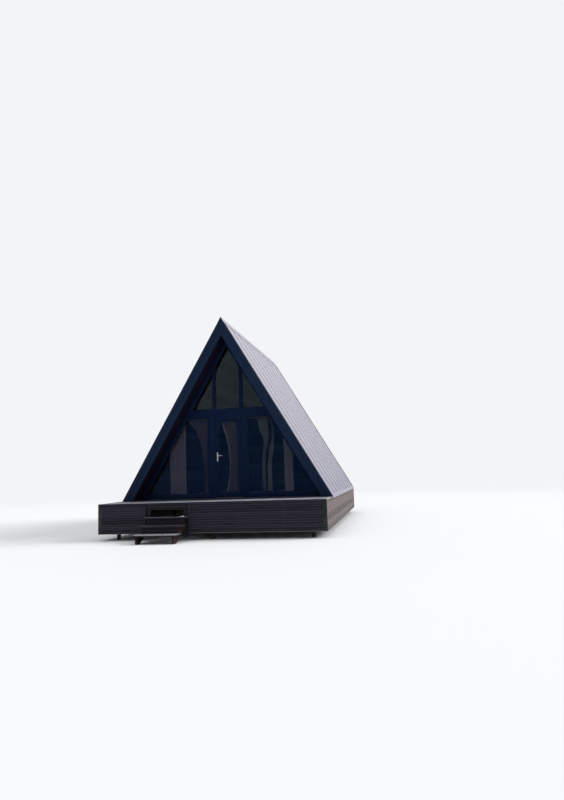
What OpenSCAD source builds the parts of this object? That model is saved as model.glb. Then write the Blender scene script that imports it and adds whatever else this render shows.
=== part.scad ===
// A-frame cabin on screw piles, with a boarded skirt, an open terrace and a glazed front.
// Millimetres, +X to the right of the door, +Y from the front to the back, +Z up.
// The origin is on the ground, under the middle of the whole plan.

/* [Roof] */
// Width across the feet of the roof
base_w = 6000; // [5000:50:7500]
// Height of the ridge above the deck
ridge_h = 5130; // [4400:10:6200]
// Length of the roof, front edge to back edge
roof_len = 8120; // [6500:20:10000]
// Depth of the ribbed roof sheets
sheet_t = 20; // [12:1:40]
// Thickness of the insulated rafter panels
rafter_t = 220; // [150:5:300]
// Thickness of the boards under the rafters
lining_t = 20; // [12:1:30]
// Thickness of the boards that close the roof's edges
fascia_t = 22; // [16:1:35]
// Depth of the metal edge trim, along the fascia
barge_w = 110; // [80:5:160]
// Thickness of the metal edge trim
barge_t = 12; // [8:1:20]
// Width of the trim's leaf on top of the sheets
barge_leaf = 180; // [80:5:200]
// Thickness of the folded metal of trims and ridge cap
flashing_t = 3; // [2:1:5]
// Width of each leaf of the ridge cap
ridge_leaf = 160; // [120:5:250]
// Height of the flashing's leaf above and below the eave
eave_leaf = 60; // [40:5:120]
// Thickness of the sealing tape under the ridge cap and the flashings
seal_t = 0.5; // [0.3:0.1:1]

/* [Platform] */
// Height of the deck's top above the ground
deck_h = 950; // [820:10:1300]
// Depth of the open terrace in front of the roof
terrace = 1490; // [1000:10:2600]
// Thickness of the deck and floor boards
deck_t = 28; // [20:1:45]
// Height of the joists
joist_h = 150; // [120:5:180]
// Width of the joists
joist_w = 50; // [40:5:80]
// Number of joists from front to back
joist_n = 16; // [10:1:20]
// Height of the long beams
beam_h = 200; // [150:5:220]
// Width of the long beams
beam_w = 150; // [100:5:200]
// Distance from the cabin's side to the outer beams' middle
beam_inset = 400; // [250:10:700]
// Diameter of the piles
pile_d = 108; // [76:1:133]
// Number of piles under each beam
pile_n = 5; // [4:1:7]
// Side of the plate on each pile
plate_w = 250; // [180:10:320]
// Thickness of the plate on each pile
plate_t = 8; // [6:1:14]

/* [Skirt] */
// Depth of the skirt's foot below the deck's top
skirt_drop = 776; // [600:2:840]
// Thickness of the skirt boards
skirt_t = 20; // [16:1:30]
// Height of the boards over the opening behind the steps
rim_h = 145; // [110:5:180]
// Width of the posts at the skirt's corners
post_w = 90; // [60:5:120]

/* [Steps] */
// Width of the steps
steps_w = 1140; // [900:10:1600]
// Middle of the steps, to the left of the door
steps_x = 1115; // [900:5:1400]
// Drop from the deck to the top tread
top_drop = 355; // [300:5:380]
// Drop from one tread to the next
rise = 187; // [160:1:200]
// Depth of each step
going = 370; // [250:5:400]
// How far the top tread stands out of the skirt
tread_out = 170; // [120:5:250]
// Thickness of the treads
tread_t = 35; // [28:1:50]
// How far each tread passes the riser under it
nosing = 30; // [15:1:50]
// Thickness of the stringers
stringer_t = 45; // [35:1:60]
// Distance from a tread's end to the stringer
stringer_inset = 80; // [60:5:200]
// Gap between the top tread's ends and the skirt
tread_gap = 5; // [3:1:12]
// Length of each stringer's foot on the ground
stringer_foot = 200; // [150:5:260]

/* [Glazed front] */
// Distance from the roof's front edge to the glazing
recess = 560; // [300:10:1200]
// Face width of the window frames
frame_w = 105; // [70:1:130]
// Depth of the window frames
frame_d = 70; // [60:1:90]
// Height of the sill under the frames
sill_h = 40; // [25:1:60]
// Height of the lower panes' top edge above the deck
lower_glass_top = 2290; // [2100:5:2450]
// Height of the beam cover between the storeys
transom_h = 65; // [40:5:200]
// Thickness of the glazing units
glass_t = 24; // [18:1:32]
// Width of the posts between the upper panes
mullion_w = 105; // [70:1:130]
// Distance from the middle to each upper post
mullion_x = 400; // [300:5:520]

/* [Door] */
// Width of the door frame
door_w = 1000; // [900:10:1200]
// Face width of the door frame
jamb_w = 110; // [90:1:130]
// Gap between the leaf and its frame
door_gap = 5; // [4:1:8]
// Thickness of the leaf
leaf_t = 56; // [44:1:60]
// Face width of the leaf's stiles
stile_w = 110; // [90:1:130]
// Face width of the leaf's top rail
top_rail = 85; // [70:1:120]
// Face width of the leaf's bottom rail
bottom_rail = 130; // [100:1:200]
// Height of the handle above the deck
handle_h = 1210; // [950:5:1250]
// Length of the lever
lever_l = 140; // [100:5:150]
// Diameter of the lever
lever_d = 20; // [14:1:24]
// Length of the lever's neck
neck_l = 40; // [35:1:60]
// Width of the handle's back plate
plate_face = 32; // [26:1:40]
// Thickness of the handle's back plate
plate_depth = 8; // [4:1:12]
// Height of the back plate above the lever
plate_up = 88; // [40:1:100]
// Depth of the back plate below the lever
plate_down = 158; // [100:1:200]
// Diameter of the hinge barrels
barrel_d = 18; // [14:1:24]
// Diameter of the hinge pins
pin_d = 9; // [7:1:10]
// Running clearance round the hinge pins
pin_clear = 0.5; // [0.3:0.1:1]
// Height of one hinge knuckle
knuckle_h = 45; // [35:1:60]
// Running gap between two hinge knuckles
knuckle_gap = 1; // [0.5:0.5:2]
// How far each pin ends below its upper knuckle's top
pin_short = 9; // [5:1:15]
// Width of a hinge's leaf
hinge_leaf = 30; // [22:1:45]
// Distance from the frame's face to the hinge barrels
hinge_stand = 5; // [5:1:10]
// Distance from the leaf's ends to the outer hinges
hinge_end = 190; // [120:5:300]
// How far the frame's stop reaches behind the leaf
stop_w = 18; // [12:1:25]

/* [Back wall and inside] */
// Distance from the roof's back edge to the back wall
back_recess = 300; // [150:10:600]
// Thickness of the back wall
back_t = 160; // [120:5:220]
// Thickness of the upper floor
upper_floor_t = 200; // [160:5:240]

/* [Curtains] */
// Height of the curtain rail
rail_h = 25; // [15:1:40]
// Depth of the curtain rail
rail_w = 30; // [20:1:50]
// Distance from the frames to the curtains' middle
curtain_y = 120; // [110:5:160]
// Thickness of the space that a hanging curtain takes
curtain_t = 80; // [50:5:100]
// Gap between a curtain and its rail
curtain_seat = 0.5; // [0.3:0.1:1]
// Gap between a curtain and the floor
curtain_foot = 30; // [10:5:80]
// Gap between a curtain or its rail and the lining
curtain_side = 30; // [15:5:60]
// Height of the ties above the deck
tie_h = 950; // [800:10:1200]
// Width of the left panel at its tie
left_tied_w = 110; // [80:5:200]
// Width of the left panel at its foot
left_loose_w = 170; // [120:5:300]
// Width of the right panel's two halves together at their ties
right_tied_w = 340; // [200:5:400]
// Width of the right panel's two halves together at the foot
right_loose_w = 330; // [200:5:400]
// Distance from the middle to the left panel's tie
left_tie_x = 680; // [610:5:900]
// Distance from the middle to the right panel's tie
right_tie_x = 955; // [700:5:1000]
// How far the right panel falls back from its tie to its foot
right_slack = 40; // [0:5:100]
// Width of the drawn panels at the rail
drawn_w = 640; // [400:10:660]
// Width of the door's panel at the rail
door_panel_top = 705; // [500:5:780]
// Width of the door's panel at its tie
door_panel_tie = 435; // [200:5:600]
// Width of the door's panel at its foot
door_panel_foot = 575; // [300:5:700]
// Distance from the middle to the left side panel
left_side_x = 1325; // [1280:5:1345]
// Distance from the middle to the right side panel
right_side_x = 1570; // [1450:5:1700]
// Distance from the middle to the outer edges of both side panels
side_end_x = 1840; // [1750:5:2000]

/* [Hidden] */

// Slope of the roof
half_w = base_w / 2;
slope = atan(ridge_h / half_w);
roof_t = sheet_t + rafter_t + lining_t;

// Places along Y, from the foot of the steps to the back edge of the roof
steps_out = terrace + tread_out + 2 * going;
roof_front = (steps_out - roof_len) / 2;
roof_back = roof_front + roof_len;
deck_front = roof_front - terrace;
panel_front = roof_front + barge_t + fascia_t;
panel_back = roof_back - barge_t - fascia_t;
glaze_front = roof_front + recess;
glaze_back = glaze_front + frame_d;
wall_back = roof_back - back_recess;
wall_front = wall_back - back_t;

// Heights of the platform's layers
joist_top = deck_h - deck_t;
beam_top = joist_top - joist_h;
pile_top = beam_top - beam_h;
skirt_foot = deck_h - skirt_drop;
side_in = half_w - skirt_t;

// Heights of the glazing, above the deck
lower_frame_top = lower_glass_top + frame_w;
upper_frame_foot = lower_frame_top + transom_h;
leaf_top = lower_glass_top - door_gap;
leaf_foot = sill_h + door_gap;
leaf_half = door_w / 2 - jamb_w - door_gap;

// The hinge pins stand in front of the leaf, over the gap at its right edge
hinge_x = door_w / 2 - jamb_w - door_gap / 2;
hinge_y = glaze_front - hinge_stand - barrel_d / 2;
hinge_zs = [leaf_foot + hinge_end, (leaf_foot + leaf_top) / 2, leaf_top - hinge_end];
pin_l = 2 * knuckle_h - pin_short;

// The curtain rail hangs under the upper floor
rail_top = upper_frame_foot - upper_floor_t;

// Half width at height z above the deck, of the plane that lies d inside the roof's face
function half_at(z, d) = half_w * (1 - z / ridge_h) - d / sin(slope);
// Height above the deck where that plane meets the middle
function top_at(d) = ridge_h - d / cos(slope);
// Height above the deck where that plane is x away from the middle
function height_at(x, d) = ridge_h * (1 - (x + d / sin(slope)) / half_w);

// An outline in X and Z, carried along Y and set on the deck
module along_y(y_from, y_to) {
    translate([0, y_to, deck_h])
        rotate([90, 0, 0])
            linear_extrude(height = y_to - y_from) children();
}

// One side of a layer of the roof, between the depths d_out and d_in
module roof_layer(side, d_out, d_in, y_from, y_to) {
    along_y(y_from, y_to)
        polygon([
            [side * half_at(0, d_out), 0], [0, top_at(d_out)],
            [0, top_at(d_in)], [side * half_at(0, d_in), 0]
        ]);
}

// The space inside the roof between two heights
module gable_outline(z_from, z_to) {
    polygon([
        [-half_at(z_from, roof_t), z_from], [half_at(z_from, roof_t), z_from],
        [half_at(z_to, roof_t), z_to], [-half_at(z_to, roof_t), z_to]
    ]);
}

// A box from one corner to the other
module block(low, high) {
    translate(low) cube(high - low);
}

// Ends of n equal places between two limits, with the first and last piece inside them
function place(i, n, low, high) = low + i * (high - low) / (n - 1);

module piles() {
    color([0.16, 0.16, 0.17])
        for (i = [0 : pile_n - 1], x = [-1, 0, 1]) {
            y = place(i, pile_n, deck_front + beam_inset, wall_back - beam_inset);
            translate([x * (half_w - beam_inset), y, 0]) {
                cylinder(d = pile_d, h = pile_top - plate_t, $fn = 48);
                translate([-plate_w / 2, -plate_w / 2, pile_top - plate_t])
                    cube([plate_w, plate_w, plate_t]);
            }
        }
}

module long_beams() {
    color([0.45, 0.33, 0.22])
        for (x = [-1, 0, 1])
            translate([x * (half_w - beam_inset) - beam_w / 2, deck_front + skirt_t, pile_top])
                cube([beam_w, roof_back - deck_front - 2 * skirt_t, beam_h]);
}

module joists() {
    color([0.55, 0.42, 0.28])
        for (i = [0 : joist_n - 1]) {
            y = place(i, joist_n, deck_front + skirt_t, roof_back - skirt_t - joist_w);
            block([-side_in, y, beam_top], [side_in, y + joist_w, joist_top]);
        }
}

module floor() {
    color([0.62, 0.48, 0.32])
        block([-half_w, glaze_front, joist_top], [half_w, roof_back, deck_h]);
}

module terrace_deck() {
    color([0.42, 0.40, 0.40])
        block([-half_w, deck_front, joist_top], [half_w, glaze_front, deck_h]);
}

// Skirt: boards from the deck down to the gap over the ground, open behind the steps
opening_left = -steps_x - steps_w / 2 - tread_gap;
opening_right = -steps_x + steps_w / 2 + tread_gap;

module skirt_front(x_from, x_to, z_from) {
    color([0.24, 0.22, 0.22])
        block([x_from, deck_front, z_from], [x_to, deck_front + skirt_t, joist_top]);
}

module skirt_front_left() {
    skirt_front(-half_w + post_w, opening_left, skirt_foot);
}

module skirt_front_right() {
    skirt_front(opening_right, half_w - post_w, skirt_foot);
}

module skirt_over_steps() {
    skirt_front(opening_left, opening_right, joist_top - rim_h);
}

module skirt_sides() {
    color([0.24, 0.22, 0.22])
        for (x = [-half_w, side_in])
            block([x, deck_front + post_w, skirt_foot],
                  [x + skirt_t, roof_back - post_w, joist_top]);
}

module skirt_back() {
    color([0.24, 0.22, 0.22])
        block([-half_w + post_w, roof_back - skirt_t, skirt_foot],
              [half_w - post_w, roof_back, joist_top]);
}

// Angle posts that cover the ends of the skirt boards at the four corners
module corner_posts() {
    color([0.10, 0.12, 0.12])
        for (sx = [-1, 1], sy = [0, 1]) {
            x = sx > 0 ? half_w - post_w : -half_w;
            y = sy > 0 ? roof_back - post_w : deck_front;
            x_in = sx > 0 ? x - skirt_t : x + skirt_t;
            y_in = sy > 0 ? y - skirt_t : y + skirt_t;
            translate([0, 0, skirt_foot]) linear_extrude(height = joist_top - skirt_foot)
                difference() {
                    translate([x, y]) square(post_w);
                    translate([x_in, y_in]) square(post_w);
                }
        }
}

// Steps: each tread's front edge, back edge and top
function tread_y(k) = deck_front - tread_out - k * going;
function tread_back(k) = k == 0 ? deck_front + skirt_t : tread_y(k - 1) + nosing;
function tread_z(k) = deck_h - top_drop - k * rise;

module treads() {
    color([0.44, 0.42, 0.41])
        for (k = [0 : 2])
            block([-steps_x - steps_w / 2, tread_y(k), tread_z(k) - tread_t],
                  [-steps_x + steps_w / 2, tread_back(k), tread_z(k)]);
}

module step_risers() {
    x = steps_w / 2 - stringer_inset - stringer_t;
    color([0.27, 0.24, 0.23])
        for (k = [0, 1])
            block([-steps_x - x, tread_y(k) + nosing, tread_z(k + 1)],
                  [-steps_x + x, tread_y(k) + nosing + skirt_t, tread_z(k) - tread_t]);
}

// A sawtooth board that stands on the ground, carries the treads and hangs on the first joist
module stringer(x) {
    y_joist = deck_front + skirt_t;
    y_back = y_joist + joist_w;
    points = [
        [y_back, beam_top], [y_joist, beam_top], [y_joist, tread_z(0) - tread_t],
        [tread_y(0) + nosing, tread_z(0) - tread_t],
        [tread_y(0) + nosing, tread_z(1) - tread_t], [tread_y(1) + nosing, tread_z(1) - tread_t],
        [tread_y(1) + nosing, tread_z(2) - tread_t], [tread_y(2) + nosing, tread_z(2) - tread_t],
        [tread_y(2) + nosing, 0], [tread_y(2) + nosing + stringer_foot, 0],
        [y_back, tread_z(1) - tread_t]
    ];
    color([0.30, 0.17, 0.12])
        translate([x, 0, 0]) rotate([90, 0, 90]) linear_extrude(height = stringer_t)
            polygon(points);
}

module stringers() {
    stringer(-steps_x - steps_w / 2 + stringer_inset);
    stringer(-steps_x + steps_w / 2 - stringer_inset - stringer_t);
}

// Roof: insulated panels, ribbed sheets, folded cap and flashings
module roof_left() {
    color([0.40, 0.31, 0.22]) roof_layer(-1, sheet_t, sheet_t + rafter_t, panel_front, panel_back);
}

module roof_right() {
    color([0.40, 0.31, 0.22]) roof_layer(1, sheet_t, sheet_t + rafter_t, panel_front, panel_back);
}

module sheet_left() {
    color([0.58, 0.58, 0.63]) roof_layer(-1, 0, sheet_t, panel_front, panel_back);
}

module sheet_right() {
    color([0.58, 0.58, 0.63]) roof_layer(1, 0, sheet_t, panel_front, panel_back);
}

// The ridge cap lies on sealing tape, over the edge trims' leaves
cap_in = flashing_t + seal_t;

// An angle over the ridge, between the depths d_out and d_in
module ridge_fold(d_out, d_in, y_from, y_to) {
    drop = ridge_leaf * sin(slope);
    along_y(y_from, y_to)
        polygon([
            [-half_at(ridge_h - drop, d_out), ridge_h - drop], [0, top_at(d_out)],
            [half_at(ridge_h - drop, d_out), ridge_h - drop],
            [half_at(ridge_h - drop, d_in), ridge_h - drop], [0, top_at(d_in)],
            [-half_at(ridge_h - drop, d_in), ridge_h - drop]
        ]);
}

module ridge_cap() {
    color([0.58, 0.58, 0.63]) {
        ridge_fold(-cap_in - flashing_t, -cap_in, roof_front, roof_back);
        ridge_fold(-cap_in, -seal_t, roof_front + barge_leaf, roof_back - barge_leaf);
    }
}

module eave_flashing(side) {
    color([0.58, 0.58, 0.63])
        along_y(roof_front + barge_leaf, roof_back - barge_leaf)
            polygon([
                [side * half_at(0, -seal_t), -eave_leaf], [side * half_at(0, -cap_in), -eave_leaf],
                [side * half_at(0, -cap_in), 0], [side * half_at(eave_leaf, -cap_in), eave_leaf],
                [side * half_at(eave_leaf, -seal_t), eave_leaf], [side * half_at(0, -seal_t), 0]
            ]);
}

module eave_flashings() {
    for (side = [-1, 1]) eave_flashing(side);
}

// Boards under the rafters: pale inside, stained dark under the overhangs
module lining_left() {
    color([0.45, 0.37, 0.30])
        roof_layer(-1, sheet_t + rafter_t, roof_t, glaze_front, wall_back);
}

module lining_right() {
    color([0.45, 0.37, 0.30])
        roof_layer(1, sheet_t + rafter_t, roof_t, glaze_front, wall_back);
}

module soffit(side) {
    color([0.22, 0.14, 0.12]) {
        roof_layer(side, sheet_t + rafter_t, roof_t, panel_front, glaze_front);
        roof_layer(side, sheet_t + rafter_t, roof_t, wall_back, panel_back);
    }
}

module soffit_left() { soffit(-1); }
module soffit_right() { soffit(1); }

// Boards that close the roof's edge at the front and at the back
module fascia(side) {
    color([0.13, 0.17, 0.25]) {
        roof_layer(side, 0, roof_t, roof_front + barge_t, panel_front);
        roof_layer(side, 0, roof_t, panel_back, roof_back - barge_t);
    }
}

module fascia_left() { fascia(-1); }
module fascia_right() { fascia(1); }

// Metal trim: a face over each fascia's upper edge and a leaf on top of the sheets
module barge(side) {
    color([0.16, 0.20, 0.30]) {
        roof_layer(side, 0, barge_w, roof_front, roof_front + barge_t);
        roof_layer(side, -flashing_t, 0, roof_front, roof_front + barge_leaf);
        roof_layer(side, 0, barge_w, roof_back - barge_t, roof_back);
        roof_layer(side, -flashing_t, 0, roof_back - barge_leaf, roof_back);
    }
}

module barge_left() { barge(-1); }
module barge_right() { barge(1); }

// Glazed front: a sill, side lights and a door below, three panes above
module sill() {
    color([0.13, 0.17, 0.25])
        for (side = [-1, 1])
            along_y(glaze_front, glaze_back)
                polygon([
                    [side * door_w / 2, 0], [side * half_at(0, roof_t), 0],
                    [side * half_at(sill_h, roof_t), sill_h], [side * door_w / 2, sill_h]
                ]);
}

// Outline of a side light, less a margin all round
module side_light(side, margin) {
    z_low = sill_h + margin;
    z_high = lower_frame_top - margin;
    x_in = door_w / 2 + margin;
    polygon([
        [side * x_in, z_low], [side * half_at(z_low, roof_t + margin), z_low],
        [side * half_at(z_high, roof_t + margin), z_high], [side * x_in, z_high]
    ]);
}

module lower_frame(side) {
    color([0.13, 0.17, 0.25])
        along_y(glaze_front, glaze_back)
            difference() {
                side_light(side, 0);
                side_light(side, frame_w);
            }
}

module lower_frame_left() { lower_frame(-1); }
module lower_frame_right() { lower_frame(1); }

glass_front = glaze_front + (frame_d - glass_t) / 2;

module lower_glass() {
    color([0.45, 0.52, 0.56, 0.4])
        for (side = [-1, 1])
            along_y(glass_front, glass_front + glass_t) side_light(side, frame_w);
}

// Outline of the upper light, a triangle inside the roof
module upper_light(margin) {
    z_low = upper_frame_foot + margin;
    polygon([
        [-half_at(z_low, roof_t + margin), z_low], [half_at(z_low, roof_t + margin), z_low],
        [0, top_at(roof_t + margin)]
    ]);
}

// Strips of the upper light between its posts: -1 left, 0 middle, 1 right
module upper_strip(part) {
    inner = mullion_x - mullion_w / 2;
    outer = mullion_x + mullion_w / 2;
    intersection() {
        upper_light(frame_w);
        translate([part == 0 ? -inner : (part < 0 ? -half_w : outer), 0])
            square([part == 0 ? 2 * inner : half_w - outer, ridge_h]);
    }
}

module upper_frame() {
    color([0.13, 0.17, 0.25])
        along_y(glaze_front, glaze_back)
            difference() {
                upper_light(0);
                for (part = [-1, 0, 1]) upper_strip(part);
            }
}

module upper_glass() {
    color([0.45, 0.52, 0.56, 0.4])
        for (part = [-1, 0, 1])
            along_y(glass_front, glass_front + glass_t) upper_strip(part);
}

module transom() {
    color([0.13, 0.17, 0.25])
        along_y(glaze_front, glaze_back) gable_outline(lower_frame_top, upper_frame_foot);
}

// Door frame: jambs with a stop behind the leaf, a head and a threshold
stop_t = frame_d - leaf_t - door_gap;

module door_frame() {
    jamb_in = door_w / 2 - jamb_w;
    color([0.13, 0.17, 0.25]) {
        along_y(glaze_front, glaze_back)
            difference() {
                translate([-door_w / 2, 0]) square([door_w, lower_frame_top]);
                translate([-jamb_in, sill_h]) square([2 * jamb_in, lower_glass_top - sill_h]);
            }
        for (x = [-jamb_in, jamb_in - stop_w])
            block([x, glaze_back - stop_t, deck_h + sill_h],
                  [x + stop_w, glaze_back, deck_h + lower_glass_top]);
    }
}

// Hinges: the frame's knuckle holds the pin, and the leaf's knuckle turns round it
module frame_hinges() {
    color([0.75, 0.76, 0.78])
        for (z = hinge_zs) {
            low = deck_h + z - knuckle_h;
            high = deck_h + z - knuckle_gap;
            translate([hinge_x, hinge_y, low]) {
                cylinder(d = barrel_d, h = high - low, $fn = 32);
                cylinder(d = pin_d, h = pin_l, $fn = 32);
            }
            block([hinge_x, hinge_y, low], [hinge_x + hinge_leaf, glaze_front, high]);
        }
}

module leaf_hinges() {
    color([0.75, 0.76, 0.78])
        for (z = hinge_zs) {
            low = deck_h + z;
            difference() {
                union() {
                    translate([hinge_x, hinge_y, low])
                        cylinder(d = barrel_d, h = knuckle_h, $fn = 32);
                    block([hinge_x - hinge_leaf, hinge_y, low],
                          [hinge_x, glaze_front, low + knuckle_h]);
                }
                translate([hinge_x, hinge_y, low - knuckle_gap])
                    cylinder(d = pin_d + 2 * pin_clear,
                             h = pin_l - knuckle_h + 2 * knuckle_gap, $fn = 32);
            }
        }
}

// Leaf: a glazed frame that hangs in the opening, flush with the front
door_glass_w = 2 * (leaf_half - stile_w);
door_glass_h = leaf_top - leaf_foot - top_rail - bottom_rail;

module door_pane() {
    translate([-door_glass_w / 2, leaf_foot + bottom_rail]) square([door_glass_w, door_glass_h]);
}

module door_leaf() {
    color([0.13, 0.17, 0.25])
        along_y(glaze_front, glaze_front + leaf_t)
            difference() {
                translate([-leaf_half, leaf_foot]) square([2 * leaf_half, leaf_top - leaf_foot]);
                door_pane();
            }
}

module door_glass() {
    y_middle = glaze_front + leaf_t / 2;
    color([0.45, 0.52, 0.56, 0.4])
        along_y(y_middle - glass_t / 2, y_middle + glass_t / 2) door_pane();
}

// A back plate and a lever on each side of the leaf
module handle_side(y_face, out) {
    x = -leaf_half + stile_w / 2;
    y_far = y_face + out * plate_depth;
    block([x - plate_face / 2, min(y_face, y_far), deck_h + handle_h - plate_down],
          [x + plate_face / 2, max(y_face, y_far), deck_h + handle_h + plate_up]);
    translate([x, y_far, deck_h + handle_h]) rotate([-90 * out, 0, 0])
        cylinder(d = lever_d, h = neck_l, $fn = 32);
    translate([x - lever_d / 2, y_far + out * (neck_l - lever_d / 2), deck_h + handle_h])
        rotate([0, 90, 0]) cylinder(d = lever_d, h = lever_l + lever_d / 2, $fn = 32);
}

module door_handle() {
    color([0.82, 0.83, 0.85]) {
        handle_side(glaze_front, -1);
        handle_side(glaze_front + leaf_t, 1);
    }
}

// Back gable: boarded walls below and above a cover board, and the floor between the storeys
module back_wall_lower() {
    color([0.24, 0.22, 0.22])
        along_y(wall_front, wall_back) gable_outline(0, lower_frame_top);
}

module back_transom() {
    color([0.13, 0.17, 0.25])
        along_y(wall_front, wall_back) gable_outline(lower_frame_top, upper_frame_foot);
}

module back_wall_upper() {
    color([0.24, 0.22, 0.22])
        along_y(wall_front, wall_back)
            polygon([
                [-half_at(upper_frame_foot, roof_t), upper_frame_foot],
                [half_at(upper_frame_foot, roof_t), upper_frame_foot], [0, top_at(roof_t)]
            ]);
}

module upper_floor() {
    color([0.62, 0.48, 0.32])
        along_y(glaze_back, wall_front)
            gable_outline(upper_frame_foot - upper_floor_t, upper_frame_foot);
}

// Curtains inside: a rail under the upper floor, and panels that are drawn aside
curtain_top = rail_top - rail_h - curtain_seat;
curtain_front = glaze_back + curtain_y - curtain_t / 2;
rail_half = half_at(rail_top, roof_t) - curtain_side;
rail_front = glaze_back + curtain_y - rail_w / 2;
post_x = door_w / 2 + frame_w;
door_post_x = leaf_half + curtain_side;

module curtain_rail() {
    color([0.85, 0.85, 0.84])
        along_y(rail_front, rail_front + rail_w)
            translate([-rail_half, rail_top - rail_h]) square([2 * rail_half, rail_h]);
}

// A hanging panel, given by its two edges at the rail, at the tie and at the foot
module curtain(top, tie, foot) {
    color([0.55, 0.52, 0.50])
        along_y(curtain_front, curtain_front + curtain_t)
            polygon([
                [foot[0], curtain_foot], [foot[1], curtain_foot], [tie[1], tie_h],
                [top[1], curtain_top], [top[0], curtain_top], [tie[0], tie_h]
            ]);
}

// Height of the side panels' upper edges, which hang along the lining
function side_top(x) = height_at(x, roof_t + curtain_seat);

// The left side panel starts under the rail's end
module left_side_curtain() {
    x_turn = half_at(curtain_top, roof_t + curtain_seat);
    color([0.55, 0.52, 0.50])
        along_y(curtain_front, curtain_front + curtain_t)
            polygon([
                [-left_side_x, curtain_foot], [-left_side_x, curtain_top], [-x_turn, curtain_top],
                [-side_end_x, side_top(side_end_x)], [-side_end_x, curtain_foot]
            ]);
}

// The right side panel hangs from the lining alone
module right_side_curtain() {
    color([0.55, 0.52, 0.50])
        along_y(curtain_front, curtain_front + curtain_t)
            polygon([
                [right_side_x, curtain_foot], [side_end_x, curtain_foot],
                [side_end_x, side_top(side_end_x)], [right_side_x, side_top(right_side_x)]
            ]);
}

module curtains_left() {
    left_side_curtain();
    curtain([-post_x - drawn_w, -post_x], [-left_tie_x - left_tied_w, -left_tie_x],
            [-left_tie_x - left_loose_w, -left_tie_x]);
}

module curtain_middle() {
    curtain([door_post_x - door_panel_top, door_post_x],
            [door_post_x - door_panel_tie, door_post_x],
            [door_post_x - door_panel_foot, door_post_x]);
}

module curtains_right() {
    right_side_curtain();
    curtain([post_x, post_x + drawn_w], [right_tie_x, right_tie_x + right_tied_w],
            [right_tie_x - right_slack, right_tie_x - right_slack + right_loose_w]);
}

piles();
long_beams();
joists();
floor();
terrace_deck();
skirt_front_left();
skirt_front_right();
skirt_over_steps();
skirt_sides();
skirt_back();
corner_posts();
treads();
step_risers();
stringers();
roof_left();
roof_right();
sheet_left();
sheet_right();
ridge_cap();
eave_flashings();
lining_left();
lining_right();
soffit_left();
soffit_right();
fascia_left();
fascia_right();
barge_left();
barge_right();
sill();
lower_frame_left();
lower_frame_right();
upper_frame();
transom();
lower_glass();
upper_glass();
door_frame();
frame_hinges();
door_leaf();
door_glass();
door_handle();
leaf_hinges();
back_wall_lower();
back_wall_upper();
back_transom();
upper_floor();
curtain_rail();
curtains_left();
curtain_middle();
curtains_right();
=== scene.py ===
import bmesh
import bpy
import numpy as np
from mathutils import Matrix, Vector


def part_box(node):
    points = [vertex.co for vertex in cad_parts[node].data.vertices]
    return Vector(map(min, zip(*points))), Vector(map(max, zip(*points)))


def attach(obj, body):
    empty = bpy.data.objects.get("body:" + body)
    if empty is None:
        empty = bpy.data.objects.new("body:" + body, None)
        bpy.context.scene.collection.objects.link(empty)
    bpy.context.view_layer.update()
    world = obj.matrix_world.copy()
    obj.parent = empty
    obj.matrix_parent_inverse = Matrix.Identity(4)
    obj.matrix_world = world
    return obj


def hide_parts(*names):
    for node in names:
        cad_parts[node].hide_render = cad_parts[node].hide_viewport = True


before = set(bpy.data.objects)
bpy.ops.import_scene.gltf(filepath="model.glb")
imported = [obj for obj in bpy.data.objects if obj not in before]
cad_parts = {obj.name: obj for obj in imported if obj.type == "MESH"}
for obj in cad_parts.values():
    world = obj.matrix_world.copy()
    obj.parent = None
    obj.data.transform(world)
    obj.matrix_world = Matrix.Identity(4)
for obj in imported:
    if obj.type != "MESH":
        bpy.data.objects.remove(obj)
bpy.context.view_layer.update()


# Screw piles: steel tubes under square head plates, turned into the ground and bolted to the beams.
# They are coated black, and the coat is dull and chalky in patches.
class Shade:
    """A socket of a material. Signs on it add Math nodes, and made() adds any other node."""

    def __init__(self, tree, socket=None):
        self.tree, self.socket = tree, socket

    def made(self, kind, settings=None, sockets=None, out=0):
        """Adds a node: its type, then its settings, then the values or links of its sockets."""
        node = self.tree.nodes.new("ShaderNode" + kind)
        for key, value in (settings or {}).items():
            if key == "stops":
                for stop, (place, colour) in zip(node.color_ramp.elements, value):
                    stop.position, stop.color = place, (*colour, 1)
            else:
                setattr(node, key, value)
        for key, value in (sockets or {}).items():
            if isinstance(value, Shade):
                self.tree.links.new(value.socket, node.inputs[key])
            else:
                node.inputs[key].default_value = value
        return Shade(self.tree, node.outputs[out] if node.outputs else None)

    def sign(operation):
        """What an operator does: a Math node on this value and the other."""
        return lambda self, other: self.made("Math", {"operation": operation}, {0: self, 1: other})

    __add__, __sub__, __mul__, __pow__ = map(sign, ("ADD", "SUBTRACT", "MULTIPLY", "POWER"))

    def between(self, low, high):
        """0 below low, 1 above high, smooth between them."""
        sockets = {"Value": self, "From Min": low, "From Max": high}
        return self.made("MapRange", {"interpolation_type": "SMOOTHSTEP"}, sockets)

    def toned(self, *stops):
        """A colour ramp between two stops, read at this value."""
        return self.made("ValToRGB", {"stops": stops}, {0: self})

    def mixed(self, first, second):
        """The first colour where this value is 0, the second where it is 1."""
        return self.made("Mix", {"data_type": "RGBA"}, {0: self, 6: first, 7: second}, 2)

    def noise(self, scale, detail, settings=None, **more):
        """Cloudy noise over this place."""
        return self.made("TexNoise", settings, {"Vector": self, "Scale": scale, "Detail": detail, **more})

    def scaled(self, *scale):
        """This place, drawn out or together along its axes."""
        return self.made("Mapping", {}, {"Vector": self, "Scale": scale})

    def bumped(self, strength, distance):
        """A surface raised by this value."""
        return self.made("Bump", {}, {"Height": self, "Strength": strength, "Distance": distance})


def emptied(owner):
    """Where nodes can be added in an owner's cleared tree."""
    owner.use_nodes = True
    owner.node_tree.nodes.clear()
    return Shade(owner.node_tree)


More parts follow.
